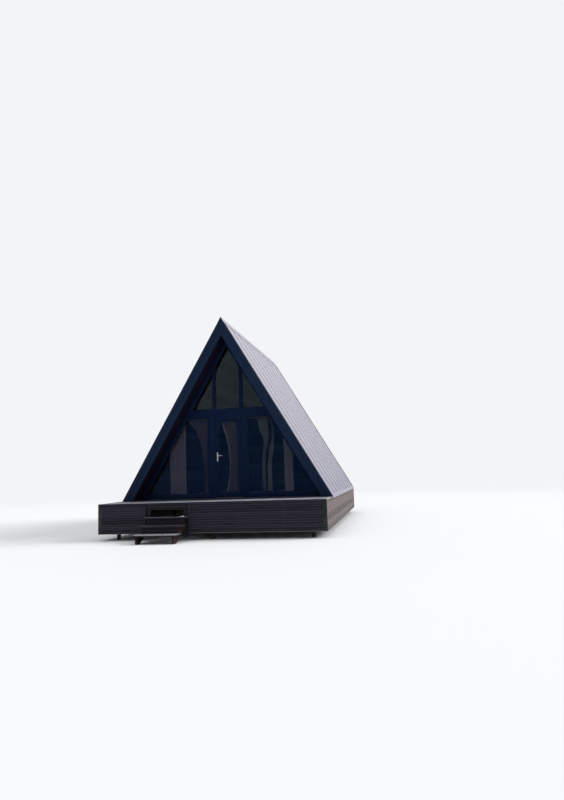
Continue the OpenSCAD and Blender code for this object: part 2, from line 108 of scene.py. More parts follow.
def finished(recipe):
    """Turns a recipe into a maker of materials. The maker takes the material's name and then what the
    recipe takes; the recipe adds nodes to shade and returns what goes into the surface shader."""

    def maker(name, *values, **more):
        material = bpy.data.materials.new(name)
        shade = emptied(material)
        surface = shade.made("BsdfPrincipled", {}, recipe(shade, *values, **more))
        shade.made("OutputMaterial", {}, {"Surface": surface})
        return material

    return maker


@finished
def coated_metal(shade, colour, dusty, rough, dust, stretch=(1, 1, 1), peel=0.04, gloss=0.1, low=None):
    """Coated metal: dust in cloudy patches of about 0.4 m, dull where it lies, over a fine orange peel.
    low is a level, the colour there, and the level where it has faded out: the colour darkens towards the
    bottom."""
    place = shade.made("TexCoord", out=3)
    clouds = place.scaled(*stretch).noise(2.6, 7.0, Roughness=0.6)
    specks, skin = place.noise(90.0, 3.0), place.noise(420.0, 2.0)
    soiled = clouds.between(0.42, 0.72) * dust + specks.between(0.6, 0.75) * dust * 0.5
    shown = soiled.toned((0.0, colour), (1.0, dusty))
    # Darker towards the bottom: low's colour at the first level, fading out by the second.
    if low:
        level = shade.made("SeparateXYZ", {}, {0: place}, 2)
        rise = shade.made("MapRange", {}, {"Value": level, "From Min": low[0], "From Max": low[2]}) ** 0.7
        shown = rise.mixed(soiled.toned((0.0, low[1]), (1.0, dusty)), shown)
    return {
        "Base Color": shown,
        "Roughness": soiled * 0.5 + rough,
        "Specular IOR Level": gloss,
        "Normal": (skin + clouds * 4.0).bumped(peel, 0.001),
    }


def coat(material, *nodes):
    """Gives CAD nodes whose shape is right their finish."""
    for node in nodes:
        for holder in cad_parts[node].material_slots:
            holder.material = material


coat(coated_metal("pile_black_coating", (0.012, 0.012, 0.013), (0.11, 0.095, 0.075), 0.5, dust=0.6), "piles")


# Beams and joists: impregnated softwood on the piles, the beams along the cabin and the joists across them.
# The roof panels between sheets and lining are planed softwood, hidden once the boards are on.
@finished
def sawn_timber(shade, pale, dark, along):
    """Softwood: growth rings as noise drawn out along the grain (axis "along"), finer pores inside."""
    fine = [1.1 if axis == along else 38.0 for axis in "XYZ"]
    drawn = shade.made("TexCoord", out=3).scaled(*fine)
    rings, pores = drawn.noise(1.0, 5.0, Distortion=0.4), drawn.noise(9.0, 2.0)
    return {
        "Base Color": (rings * 0.8 + pores * 0.2).toned((0.3, dark), (0.7, pale)),
        "Roughness": pores * 0.2 + 0.6,
        "Specular IOR Level": 0.12,
        "Normal": pores.bumped(0.25, 0.001),
    }


timber_along = sawn_timber("planed_timber_along", (0.52, 0.37, 0.22), (0.30, 0.19, 0.10), "Y")
timber_across = sawn_timber("planed_timber_across", (0.50, 0.36, 0.21), (0.29, 0.18, 0.10), "X")
coat(timber_along, "roof_left", "roof_right")
impregnated = (0.034, 0.027, 0.025), (0.018, 0.014, 0.014)
coat(sawn_timber("impregnated_timber_along", *impregnated, "Y"), "long_beams")
coat(sawn_timber("impregnated_timber_across", *impregnated, "X"), "joists")


# Floor: tongued softwood boards along the cabin, oiled and nailed to the joists with hardly a gap.
# They run out behind the back wall, where they are stained grey and end behind a dark edge board.
X, Y, Z = np.eye(3)


def places(*axes):
    """Points from their coordinates, each of them an array or one number for all."""
    return np.stack(np.broadcast_arrays(*axes), -1)


def lengths(rings):
    """How far it is from each point of a closed ring to the next one."""
    return np.linalg.norm(np.roll(rings, -1, -2) - rings, axis=-1)


def wall_uv(near, far, rings):
    """uv of walls round rings: metres along, from near to far, and metres round the ring."""
    step = lengths(rings)
    to = np.cumsum(step, -1)
    return places(near, to - step, near, to, far, to, far, to - step)


def mesh_of(name, points, faces, uv, own):
    """A mesh from whole arrays: points, blocks of faces, one uv pair a face corner, one number a point as
    "board". "upward" is how far each face looks up, from 0 to 1."""
    mesh = bpy.data.meshes.new(name)
    mesh.from_pydata(points.reshape(-1, 3).tolist(), [], sum((block.tolist() for block in faces), []))
    flat = np.concatenate([np.asarray(block, np.float32).ravel() for block in uv])
    mesh.uv_layers.new(name="grain").data.foreach_set("uv", flat)
    mesh.attributes.new("board", "FLOAT", "POINT").data.foreach_set("value", own.astype(np.float32).ravel())
    shell = bmesh.new()
    shell.from_mesh(mesh)
    bmesh.ops.recalc_face_normals(shell, faces=shell.faces)
    shell.to_mesh(mesh)
    shell.free()
    facing = np.empty(len(mesh.polygons) * 3, np.float32)
    mesh.polygons.foreach_get("normal", facing)
    mesh.attributes.new("upward", "FLOAT", "FACE").data.foreach_set("value", np.clip(facing[2::3], 0, 1))
    return mesh


def ringed(name, points, own, uv=None, closed=False):
    """Bodies of rings: points are in bodies, their rings and the places round a ring. Walls join each ring
    to the next one. The last ring joins the first one, or both have caps. own is one number a body."""
    bodies, levels, sides, _ = points.shape
    index = np.arange(bodies * levels * sides).reshape(bodies, levels, sides)
    beside, ahead = np.roll(index, -1, 2), np.roll(index, -1, 1)
    walls = np.stack([index, beside, np.roll(beside, -1, 1), ahead], -1)
    faces = [walls.reshape(-1, 4)] if closed else [walls[:, :-1].reshape(-1, 4), index[:, 0], index[:, -1]]
    uv = uv or [np.zeros(2 * block.size) for block in faces]
    return mesh_of(name, points, faces, uv, np.repeat(own, levels * sides))


def boards(name, outline, start, along, across, up):
    """Straight boards. Corner k of a board's near end is start + outline[k].x * across + outline[k].y * up,
    and its far end lies along further on. outline, start and along may differ from board to board, the last
    two from corner to corner too. uv is metres along the board and round its outline."""
    outline, start, along, across, up = (np.asarray(a, float) for a in (outline, start, along, across, up))
    start, along = (a[:, None] if a.ndim == 2 else a for a in (start, along))
    near = start + outline[..., :1] * across + outline[..., 1:] * up
    points = np.stack([near, near + along], 1)
    count, _, corners, _ = points.shape
    ring = np.broadcast_to(outline, (count, corners, 2))
    own = np.random.default_rng(len(name) + count).random(count)
    return ringed(name, points, own, [wall_uv(0.0, np.linalg.norm(along, axis=-1), ring), ring, ring])


def placed(name, data):
    """A new object in the scene."""
    made = bpy.data.objects.new(name, data)
    bpy.context.scene.collection.objects.link(made)
    return made


def piece(mesh, material, replaced=(), body="cabin"):
    """Puts a mesh into the scene as a piece that rides on a body and stands for the CAD nodes replaced."""
    made = placed(mesh.name, mesh)
    mesh.materials.append(material)
    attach(made, body)
    if replaced:
        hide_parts(*replaced)
    return made


def eased(width, thickness, ease, top=None):
    """A board's outline, width by thickness from (0, 0), lower and upper edges cut off by ease and top."""
    top = ease if top is None else top
    return np.array([
        (ease, 0), (width - ease, 0), (width, ease), (width, thickness - top), (width - top, thickness),
        (top, thickness), (0, thickness - top), (0, ease),
    ])


@finished
def stained_boards(shade, dark, light, rough, tone=0.5, worn=None, above=None, gloss=0.08, beyond=None):
    """Boards under stain or oil: long grain from noise drawn out along each board's own uv, a tone for each
    board, fine pores, and worn patches where the stain has gone. above is painted light, a colour laid on
    faces that look up as if the light from above fell on them; beyond is the colour of a board's far part,
    and how far along it begins."""
    by_board = {"noise_dimensions": "4D"}
    place = shade.made("UVMap", {"uv_map": "grain"})
    own = shade.made("Attribute", {"attribute_name": "board"}, out=2)
    long, fine = place.scaled(1.6, 34.0, 1.0), place.scaled(14.0, 420.0, 1.0)
    grain = long.noise(1.0, 6.0, by_board, W=own * 60.0, Roughness=0.62, Distortion=0.5)
    pores = fine.noise(1.0, 2.0, by_board, W=own * 31.0)
    shown = (grain - 0.5) * 1.5 + 0.5 + (own - 0.5) * tone + (pores - 0.5) * 0.3
    colour = shown.toned((0.15, dark), (0.85, light))
    if worn:
        patches = place.noise(5.0, 8.0, Roughness=0.7)
        gone = (patches + (pores - 0.5) * 0.5).between(0.58, 0.78) * worn[1]
        colour = gone.mixed(colour, (*worn[0], 1))
    if beyond:
        from_end = shade.made("SeparateXYZ", {}, {0: place})
        far = (from_end + (grain - 0.5) * 0.1).between(beyond[1] - 0.06, beyond[1] + 0.1)
        far_dark, far_light = np.multiply(beyond[0], 0.7), np.multiply(beyond[0], 1.3)
        colour = far.mixed(colour, shown.toned((0.15, far_dark), (0.85, far_light)))
    # Painted light: faces that look up take the colour above, as if the light from above fell on them.
    if above:
        upward = shade.made("Attribute", {"attribute_name": "upward"}, out=2)
        lit_from_above = upward.between(0.2, 0.6) * (grain * 0.7 + 0.5)
        colour = lit_from_above.mixed(colour, (*above, 1))
    return {
        "Base Color": colour,
        "Roughness": pores * 0.2 + (grain * 0.15 + rough - 0.15),
        "Specular IOR Level": gloss,
        "Normal": (grain + pores * 0.6).bumped(0.35, 0.0012),
    }


floor_low, floor_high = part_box("floor")
wall_low, wall_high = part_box("back_wall_lower")
floor_count, floor_gap, board_t, edge_room = 43, 0.0008, 0.0195, 0.020
floor_t = floor_high.z - floor_low.z
floor_pitch = (floor_high.x - floor_low.x) / floor_count
floor_lines = floor_low.x + floor_pitch * np.arange(floor_count)
floor_starts = places(floor_lines, floor_low.y, floor_low.z)
floor_run = Y * (floor_high.y - floor_low.y - edge_room)
grey_from = wall_high.y - floor_low.y - 0.12
oiled = stained_boards("floor_oil", (0.32, 0.19, 0.10), (0.62, 0.43, 0.25), 0.42,
                       beyond=((0.13, 0.13, 0.15), grey_from))
floor_outline = eased(floor_pitch - floor_gap, floor_t, 0.0012)
piece(boards("floor_boards", floor_outline, floor_starts, floor_run, X, Z), oiled, ["floor"])
dark_stain = (0.009, 0.008, 0.014), (0.024, 0.022, 0.036)
# The edge board's faces that look up take painted light.
edge_stain = stained_boards("floor_edge_stain", *dark_stain, 0.6, above=(0.10, 0.095, 0.12))
piece(
    boards("floor_edge_board", eased(board_t, floor_t, 0.0015, 0.0025),
           [(floor_low.x, floor_high.y - board_t, floor_low.z)], X * (floor_high.x - floor_low.x), Y, Z),
    edge_stain, ["floor"],
)


# Terrace: grooved decking laid front to back in front of the glazing, stained grey, with open joints.
# Each board is held by two screws at every joist.
def grooved(width, thickness, ease):
    """A decking outline: a board with evenly spaced square grooves in its top."""
    grooves, half, deep = 9, 0.0035, thickness - 0.0015
    middles = width * (np.arange(grooves)[::-1] + 0.5) / grooves
    cut = np.array([(half, thickness), (half, deep), (-half, deep), (-half, thickness)])
    cuts = (middles[:, None, None] * (1, 0) + cut).reshape(-1, 2)
    before = [(ease, 0), (width - ease, 0), (width, ease), (width, thickness - ease)]
    after = [(ease, thickness), (0, thickness - ease), (0, ease)]
    return np.concatenate([before, [(width - ease, thickness)], cuts, after])


def unit(vectors):
    """The same directions, 1 long."""
    return vectors / np.linalg.norm(vectors, axis=-1, keepdims=True)


def circle(sides, first, second):
    """Points round a circle of radius 1, from one direction to another one."""
    turn = 2 * np.pi * np.arange(sides)[:, None] / sides
    return np.cos(turn) * first + np.sin(turn) * second


def heads(name, centres, normal, rings, sides=8):
    """Screw heads: ring j round a centre has radius rings[j][0] and stands out rings[j][1] along normal."""
    centres, rings, normal = (np.asarray(a, float) for a in (centres, rings, normal))
    first = unit(np.cross(normal, Z if abs(normal[2]) < 0.9 else X))
    around = circle(sides, first, np.cross(normal, first))
    points = centres[:, None, None] + (rings[:, None, :1] * around + rings[:, None, 1:] * normal)
    return ringed(name, points, np.random.default_rng(len(centres)).random(len(centres)))


deck_low, deck_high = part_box("terrace_deck")
deck_t, deck_gap, roof_shade_from = deck_high.z - deck_low.z, 0.005, 0.88
deck_board, deck_lines = floor_pitch - deck_gap, floor_lines + deck_gap / 2
# The boards' far part, under the roof, takes the dark beyond colour: painted shade of the roof's overhang.
deck_stain = stained_boards(
    "deck_grey_stain", (0.19, 0.19, 0.23), (0.33, 0.33, 0.385), 0.45, tone=0.35,
    worn=((0.45, 0.45, 0.49), 0.5), gloss=0.2, beyond=((0.035, 0.036, 0.048), roof_shade_from),
)
deck_starts = places(deck_lines, deck_low.y + edge_room, deck_low.z)
deck_run = Y * (deck_high.y - deck_low.y - edge_room - 0.003)
piece(boards("terrace_boards", grooved(deck_board, deck_t, 0.002), deck_starts, deck_run, X, Z), deck_stain,
      ["terrace_deck"])
joist_low, joist_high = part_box("joists")
joist_w, joist_gaps, terrace_joists = 0.05, 15, 4
joist_run = joist_high.y - joist_low.y - joist_w
joist_rows = joist_low.y + joist_w / 2 + joist_run * np.arange(terrace_joists) / joist_gaps
screw_across = np.concatenate([deck_lines + share * deck_board for share in (0.25, 0.75)])
screw_x, screw_y = np.meshgrid(screw_across, joist_rows)
screw_steel = coated_metal("screw_steel", (0.42, 0.41, 0.39), (0.30, 0.26, 0.22), 0.35, dust=0.4)
screw_rings, screw_sink = [(0.0045, -0.003), (0.0045, 0.0006), (0.0030, 0.0010)], 0.0012
screw_spots = places(screw_x.ravel(), screw_y.ravel(), deck_high.z - screw_sink)
piece(heads("terrace_screws", screw_spots, Z, screw_rings, 6), screw_steel)


# Skirt: narrow boards on edge from the deck to a hand's width above the ground, nailed to posts behind them,
# stained dark, with painted light on their upper edges, a paler copy of the stain as painted sunlight on the
# long sides, and a bright drip strip at the foot.
# An edge board closes the ends of the terrace boards; end boards and posts stand beside the steps' opening.
skirt_low, skirt_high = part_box("skirt_front_right")
left_low, left_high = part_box("skirt_front_left")
over_low, over_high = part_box("skirt_over_steps")
skirt_count = 12
skirt_pitch = (skirt_high.z - skirt_low.z) / skirt_count
skirt_t = skirt_high.y - skirt_low.y
skirt_levels = skirt_low.z + skirt_pitch * np.arange(skirt_count)
over_levels = over_high.z - skirt_pitch * np.array([2, 1])
skirt_stain = stained_boards("skirt_dark_stain", *dark_stain, 0.6, tone=0.7,
                             worn=((0.058, 0.053, 0.071), 0.7), above=(0.10, 0.095, 0.12))
# The long sides' boards are a paler copy of the skirt stain: painted sunlight on the sides.
skirt_sides_painted_light = stained_boards(
    "skirt_weathered_stain", (0.065, 0.052, 0.050), (0.15, 0.125, 0.122), 0.7, tone=0.6,
    worn=((0.20, 0.17, 0.165), 0.5), above=(0.30, 0.27, 0.265),
)


def skirt_outline(pitch):
    """A lapped board on edge, its thickness first: the foot, a back that reaches up behind the next board,
    the lap, and an upper edge that slopes to the outside."""
    return np.array([
        (0.0015, 0.0), (0.0115, 0.0), (0.0115, 0.008), (skirt_t, 0.008), (skirt_t, pitch + 0.0075),
        (0.012, pitch + 0.0075), (0.012, pitch - 0.003), (0.009, pitch - 0.003), (0.001, pitch - 0.011),
        (0, 0.0015),
    ])


for side, node, inward, levels, stain in (
    ("front_left", "skirt_front_left", Y, skirt_levels, skirt_stain),
    ("front_right", "skirt_front_right", Y, skirt_levels, skirt_stain),
    ("over_steps", "skirt_over_steps", Y, over_levels, skirt_stain),
    ("side_left", "skirt_sides", X, skirt_levels, skirt_sides_painted_light),
    ("side_right", "skirt_sides", -X, skirt_levels, skirt_sides_painted_light),
    ("back", "skirt_back", -Y, skirt_levels, skirt_stain),
):
    low, high = (np.array(corner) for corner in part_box(node))
    near = np.where(inward < 0, high, low)
    outline = np.repeat([skirt_outline(skirt_pitch)], len(levels), 0)
    outline[-1, 4:6, 1] = skirt_pitch - 0.001
    run = (high - low) * (X if inward[1] else Y)
    mesh = boards(f"skirt_boards_{side}", outline, places(near[0], near[1], levels), run, inward, Z)
    piece(mesh, stain, [node])
piece(
    boards("terrace_edge_board", eased(board_t, deck_t, 0.0015, 0.0025), [deck_low],
           X * (deck_high.x - deck_low.x), Y, Z),
    skirt_stain, ["terrace_deck"],
)
drip_metal = coated_metal("drip_strip_metal", (0.15, 0.145, 0.165), (0.20, 0.19, 0.19), 0.4, dust=0.5)
drip = [
    (-0.004, -0.001), (0.012, -0.001), (0.012, 0.0005), (-0.0025, 0.0005), (-0.0025, 0.011), (-0.004, 0.011),
]
drip_runs = [X * (left_high.x - left_low.x), X * (skirt_high.x - skirt_low.x)]
piece(boards("skirt_drip_strips", drip, [left_low, skirt_low], drip_runs, Y, Z), drip_metal)
end_stain = stained_boards("skirt_end_board_stain", (0.014, 0.013, 0.020), (0.034, 0.032, 0.047), 0.6,
                           tone=0.3, worn=((0.07, 0.065, 0.085), 0.6))
end_w, end_t = 0.046, 0.012
end_starts = places([left_high.x - end_w, skirt_low.x], skirt_low.y - end_t, skirt_low.z + end_t)
end_run = Z * (skirt_high.z - (skirt_low.z + end_t))
piece(boards("skirt_end_boards", eased(end_w, end_t, 0.002), end_starts, end_run, X, Y), end_stain)
stringer_low, stringer_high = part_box("stringers")
side_lap = 0.015
side_post = eased(stringer_low.x - over_low.x + side_lap, 0.045, 0.002)
side_starts = places([over_low.x - side_lap, stringer_high.x], over_high.y, skirt_low.z)
# The posts are a much darker copy of the impregnated timber: painted shade in the steps' opening.
upright_painted_shade = sawn_timber("impregnated_timber_upright", (0.014, 0.012, 0.014), (0.007, 0.006, 0.008), "Z")
piece(boards("opening_side_posts", side_post, side_starts, Z * (joist_low.z - skirt_low.z), X, Y), upright_painted_shade)


# Corner posts: folded metal angles, painted dark green-black, that cover the ends of the skirt boards.
# One is screwed on at each corner of the platform.
post_low, post_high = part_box("corner_posts")
post_w, post_fold = 0.09, 0.004
post_angle = np.array([
    (post_fold, 0), (post_w, 0), (post_w, skirt_t), (skirt_t + post_fold, skirt_t),
    (skirt_t, skirt_t + post_fold), (skirt_t, post_w), (0, post_w), (0, post_fold),
])
post_turns = np.array([(1, 1), (-1, 1), (1, -1), (-1, -1)])
post_feet = places([post_low.x, post_high.x] * 2, np.repeat([post_low.y, post_high.y], 2), post_low.z)
post_paint = coated_metal("corner_post_paint", (0.014, 0.020, 0.019), (0.06, 0.065, 0.055), 0.38, dust=0.5)
post_outlines, post_run = post_angle * post_turns[:, None], Z * (post_high.z - post_low.z)
piece(boards("corner_angles", post_outlines, post_feet, post_run, X, Y), post_paint,
      ["corner_posts"])


# Steps: three treads of grooved boards on two sawtooth stringers, two boarded risers set back under them.
# The treads are stained dark, with painted light on their upper faces, grey on the top one and pale on
# the lowest, while the middle one's stay dark as painted shade; the stringers are red-brown.
tread_low, tread_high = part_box("treads")
riser_low, riser_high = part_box("step_risers")
tread_t, tread_gap, tread_out, rise, going, nosing = 0.035, 0.004, 0.170, 0.187, 0.370, 0.030
tread_tops = tread_high.z - rise * np.arange(3)
tread_fronts = deck_low.y - tread_out - going * np.arange(3)
riser_fronts, tread_run = tread_fronts[:2] + nosing, X * (tread_high.x - tread_low.x)
# Each tread's faces that look up take painted light: grey, dark as painted shade, and pale, from top to
# lowest.
for word, top, front, rear, count, lit_top in zip(
    ("top", "middle", "lowest"), tread_tops, tread_fronts, (deck_low.y + skirt_t, *riser_fronts), (1, 2, 2),
    ((0.19, 0.19, 0.235), (0.045, 0.044, 0.055), (0.40, 0.40, 0.45)),
):
    stain = stained_boards(f"tread_{word}_stain", (0.013, 0.012, 0.018), (0.030, 0.029, 0.038), 0.5,
                           tone=0.3, worn=((0.08, 0.075, 0.085), 0.4), above=lit_top)
    wide = (rear - front) / count
    starts = places(tread_low.x, front + np.arange(count) * wide, top - tread_t)
    mesh = boards(f"tread_boards_{word}", grooved(wide - tread_gap, tread_t, 0.003), starts, tread_run, Y, Z)
    piece(mesh, stain, ["treads"])
riser_pitch = (rise - tread_t) / 3
riser_levels = (tread_tops[1:, None] + 0.001 + riser_pitch * np.arange(3)).ravel()
riser_starts = places(riser_low.x, np.repeat(riser_fronts, 3), riser_levels)
riser_outline = np.repeat([skirt_outline(riser_pitch)], 6, 0)
riser_outline[2::3, 4:6, 1] = riser_pitch - 0.001
riser_outline[::3, :4, 1] -= 0.016
# The risers' stain is darker than the skirt's: painted shade under the treads, with painted light on faces
# that look up.
riser_stain = stained_boards("riser_dark_stain", (0.006, 0.005, 0.010), (0.015, 0.013, 0.022), 0.6,
                             above=(0.06, 0.055, 0.072))
piece(boards("riser_boards", riser_outline, riser_starts, X * (riser_high.x - riser_low.x), Y, Z),
      riser_stain, ["step_risers"])
coat(sawn_timber("stringer_red_brown_stain", (0.032, 0.018, 0.020), (0.012, 0.007, 0.009), "Y"), "stringers")


# Roof sheets: coated steel, a standing rib at each joint between sheets and two low stiffeners in each pan.
# They run from ridge to eave, each sheet's last rib over the next one's first, screwed to battens.
half_w, ridge_rise, deck_z, roof_t, sheet_t = 3.0, 5.13, deck_high.z, 0.26, 0.02
pitch_angle = np.arctan2(ridge_rise, half_w)
slope_sin, slope_cos = np.sin(pitch_angle), np.cos(pitch_angle)
slopes = [
    (word, side * slope_sin * X + slope_cos * Z, side * slope_cos * X - slope_sin * Z)
    for word, side in (("left", -1), ("right", 1))
]


def half_at(height, depth):
    """Half width at a height above the deck of the plane that lies depth inside the roof's face."""
    return half_w * (1 - height / ridge_rise) - depth / slope_sin


def height_at(x, depth):
    """Height above the deck of that plane, x away from the middle."""
    return ridge_rise * (1 - (x + depth / slope_sin) / half_w)


sheet_low, sheet_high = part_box("sheet_right")
edge_cover = 0.034
roof_front, roof_back = sheet_low.y - edge_cover, sheet_high.y + edge_cover
sheet_pitch, sheet_phase, sheets, apex_gap = 0.865, 0.115, 9, 0.012
rib_h, rib_top, rib_foot, steel, low_rib = sheet_t - 0.0015, 0.022, 0.046, 0.0009, 0.0035
thirds = np.array([1, 2])[:, None] * sheet_pitch / 3
stiffeners = places(thirds + [-0.022, -0.012, 0.012, 0.022], [0, low_rib, low_rib, 0]).reshape(-1, 2)
sheet_line = np.concatenate([
    [(-rib_foot / 2, 0), (-rib_top / 2, rib_h), (rib_top / 2, rib_h), (rib_foot / 2, 0)],
    stiffeners,
    [(sheet_pitch - rib_foot / 2, 0), (sheet_pitch - rib_top / 2 - 0.001, rib_h + 0.001)],
    [(sheet_pitch + rib_top / 2 + 0.001, rib_h + 0.001), (sheet_pitch + rib_foot / 2 - 0.004, 0.005)],
])
sheet_outline = np.concatenate([sheet_line, sheet_line[::-1] - (0, steel)])
sheet_coat = coated_metal(
    "roof_sheet_coating", (0.355, 0.34, 0.395), (0.38, 0.365, 0.395), 0.40, dust=0.5,
    stretch=(0.5, 2.0, 0.5), peel=0.02, gloss=0.3, low=(deck_z + 0.2, (0.24, 0.236, 0.30), deck_z + 4.8),
)
roof_screw = [(0.0075, -0.0002), (0.0075, 0.0018), (0.0048, 0.0020), (0.0048, 0.0060), (0.0032, 0.0070)]
sheet_lines = roof_front + sheet_phase + sheet_pitch * np.arange(sheets)
cut_from = np.array([sheet_low.y, sheet_lines[-1] + sheet_pitch + rib_foot / 2])
cut_to = np.array([sheet_lines[0] - rib_foot / 2, sheet_high.y])
cut_outline = (cut_to - cut_from)[:, None, None] * [(0, 0), (1, 0), (1, 0), (0, 0)]
cut_outline += np.array([(0, 0), (0, 0), (0, -steel), (0, -steel)])
screw_shares, battens = np.array([0.16, 0.5, 0.84]), 0.35 + 0.58 * np.arange(10)
screw_lines, screw_rows = np.meshgrid((sheet_lines[:, None] + sheet_pitch * screw_shares).ravel(), battens)
for word, outward, down in slopes:
    pan = Z * (deck_z + ridge_rise) - outward * (sheet_t - steel) + down * apex_gap
    run = down * (ridge_rise / slope_sin - apex_gap)
    spots = pan + screw_lines.reshape(-1, 1) * Y + screw_rows.reshape(-1, 1) * down
    for mesh in (
        boards(f"roof_sheets_{word}", sheet_outline, pan + sheet_lines[:, None] * Y, run, Y, outward),
        boards(f"roof_cut_sheets_{word}", cut_outline, pan + cut_from[:, None] * Y, run, Y, outward),
    ):
        piece(mesh, sheet_coat, [f"sheet_{word}"])
    piece(heads(f"roof_screws_{word}", spots, outward, roof_screw), sheet_coat)


# Ridge cap and eave flashings: folded coated steel. The cap has a bead along the ridge and hemmed leaves
# over sloped closure strips; the flashings turn from the sheets down over the deck's edge to a drip.
leaf_down, leaf_out = np.array([slope_cos, -slope_sin]), np.array([slope_sin, slope_cos])
cap_seat, cap_steel, bead_r = np.array([0, deck_z + ridge_rise]), 0.0015, 0.011
bead_turn = np.linspace(-0.5, 0.5, 9) * np.pi
bead = places(np.sin(bead_turn), np.cos(bead_turn)) * bead_r
leaf_points = cap_seat + leaf_out * 0.0065 + leaf_down * np.array([[0.016], [0.150], [0.156], [0.160]])
leaf_points[3] += leaf_out * 0.002
cap_line = np.concatenate([(leaf_points * (-1, 1))[::-1], bead + cap_seat + (0, 0.004), leaf_points])
cap_normal = unit(np.gradient(cap_line, axis=0)[:, ::-1] * (-1, 1))
cap_outline = np.concatenate([cap_line, (cap_line - cap_normal * cap_steel)[::-1]])
piece(boards("ridge_cap_sheet", cap_outline, [Y * roof_front], Y * (roof_back - roof_front), X, Z),
      sheet_coat, ["ridge_cap"])
rib_lines = roof_front + sheet_phase + sheet_pitch * np.arange(sheets + 1)
strip_from = np.concatenate([[sheet_low.y], rib_lines + rib_foot / 2]) + 0.001
strip_to = np.concatenate([rib_lines - rib_foot / 2, [sheet_high.y]]) - 0.001
strip_h, strip_at = sheet_t - steel + 0.0048, 0.130
strip_outline = [(0, 0), (0.044, 0), (0.044, 0.001), (0.0275, strip_h), (0, strip_h)]
for word, outward, down in slopes:
    seat = Z * (deck_z + ridge_rise) - outward * (sheet_t - steel) + down * strip_at
    mesh = boards(f"ridge_closure_strips_{word}", strip_outline, seat + strip_from[:, None] * Y,
                  (strip_to - strip_from)[:, None] * Y, down, outward)
    piece(mesh, sheet_coat, ["ridge_cap"])
eave_inset = 0.12
eave_line = np.array([
    (half_w + 0.0045, -0.058), (half_w - 0.0005, -0.060), (half_w + 0.0035, -0.054), (half_w + 0.0035, 0.0),
    (half_at(0.06, -0.0035), 0.06),
])
eave_outline = np.concatenate([eave_line, (eave_line + (-0.0012, -0.0007))[::-1]])
piece(
    boards("eave_flashing_sheets", np.stack([eave_outline, eave_outline * (-1, 1)]),
           [(0, roof_front + eave_inset, deck_z)] * 2, Y * (roof_back - roof_front - 2 * eave_inset), X, Z),
    sheet_coat, ["eave_flashings"],
)


# Fascia and edge trim: painted boards close the roof's front and back edges, mitred at the ridge.
# A folded metal trim covers their upper half and turns over the sheets.
def framed(name, corners, inward, section, closed):
    """Sections carried round outlines in X and Z. Point (corner i, section j) is corner i + section[j].x *
    inward i, at the depth section[j].y along Y. An outline is closed, or cut off flat at both ends. uv is
    metres along the outline and round the section. There may be one section, or one to an outline."""
    given = [np.asarray(a, float) for a in (corners, inward, section)]
    count = max([len(a) for a in given if a.ndim == 3], default=1)
    corners, inward, section = (np.broadcast_to(a, (count, *a.shape[-2:])) for a in given)
    flat = corners[:, :, None] + section[:, None, :, :1] * inward[:, :, None]
    points = places(flat[..., 0], section[:, None, :, 1], flat[..., 1] + deck_z)
    size = lengths(corners)[..., None]
    reach = np.cumsum(size, 1)
    uv = wall_uv(reach - size, reach, section[:, None])
    own = np.random.default_rng(len(name) + count).random(count)
    return ringed(name, points, own, [uv] if closed else [uv[:, :-1], section, section], closed)


def at_both_ends(section, inset):
    """A section set inset from the roof's front edge, and turned round, as far from its back edge."""
    section = np.array(section)
    return np.stack([section + (0, roof_front + inset), section * (1, -1) + (0, roof_back - inset)])


gable = [(-half_w, 0), (0, ridge_rise), (half_w, 0)]
gable_in = [(1 / slope_sin, 0), (0, -1 / slope_cos), (-1 / slope_sin, 0)]
fascia_paint = coated_metal("fascia_blue_black_paint", (0.003, 0.0135, 0.041), (0.010, 0.022, 0.048), 0.42,
                            dust=0.3)
fascia_section = at_both_ends([(0.001, 0), (0.257, 0), (0.26, 0.003), (0.26, 0.022), (0.001, 0.022)], 0.012)
piece(framed("fascia_boards", gable, gable_in, fascia_section, False), fascia_paint,
      ["fascia_left", "fascia_right"])
trim_coat = coated_metal("edge_trim_coating", (0.0038, 0.012, 0.037), (0.012, 0.021, 0.045), 0.36, dust=0.35)
trim_section = at_both_ends([
    (-0.003, 0.002), (-0.001, 0), (0.104, 0), (0.110, -0.003), (0.112, -0.001), (0.106, 0.004),
    (0.106, 0.012), (0.002, 0.012), (-0.0005, 0.179), (-0.003, 0.180),
], 0.0)
piece(framed("roof_edge_trim", gable, gable_in, trim_section, False), trim_coat,
      ["barge_left", "barge_right"])


# Soffit: planed boards under the roof's overhangs, along the slope, stained dark red-brown.
# They lap over the ends of the lining, so that no pale end grain shows beside the window frames.
soffit_stain = stained_boards("soffit_red_brown_stain", (0.006, 0.004, 0.014), (0.016, 0.011, 0.029), 0.5,
                              tone=0.4)
glaze_low, glaze_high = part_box("lower_frame_left")
front_y, rear_y = glaze_low.y, glaze_high.y
lining_t, lap, soffit_gap = 0.02, 0.003, 0.002
soffit_section = []
for first, last, count in (
    (roof_front + edge_cover, front_y + lap + soffit_gap, 4), (wall_high.y - lap, roof_back - edge_cover, 2)
):
    pitch = (last - first) / count
    across = eased(pitch - soffit_gap, board_t, 0.0, 0.003)
    soffit_section += [across + (first + pitch * k, 0) for k in range(count)]
soffit_section = np.stack(soffit_section)[..., ::-1] + (roof_t - lining_t, 0)
piece(framed("soffit_boards", gable, gable_in, soffit_section, False), soffit_stain,
      ["soffit_left", "soffit_right"])


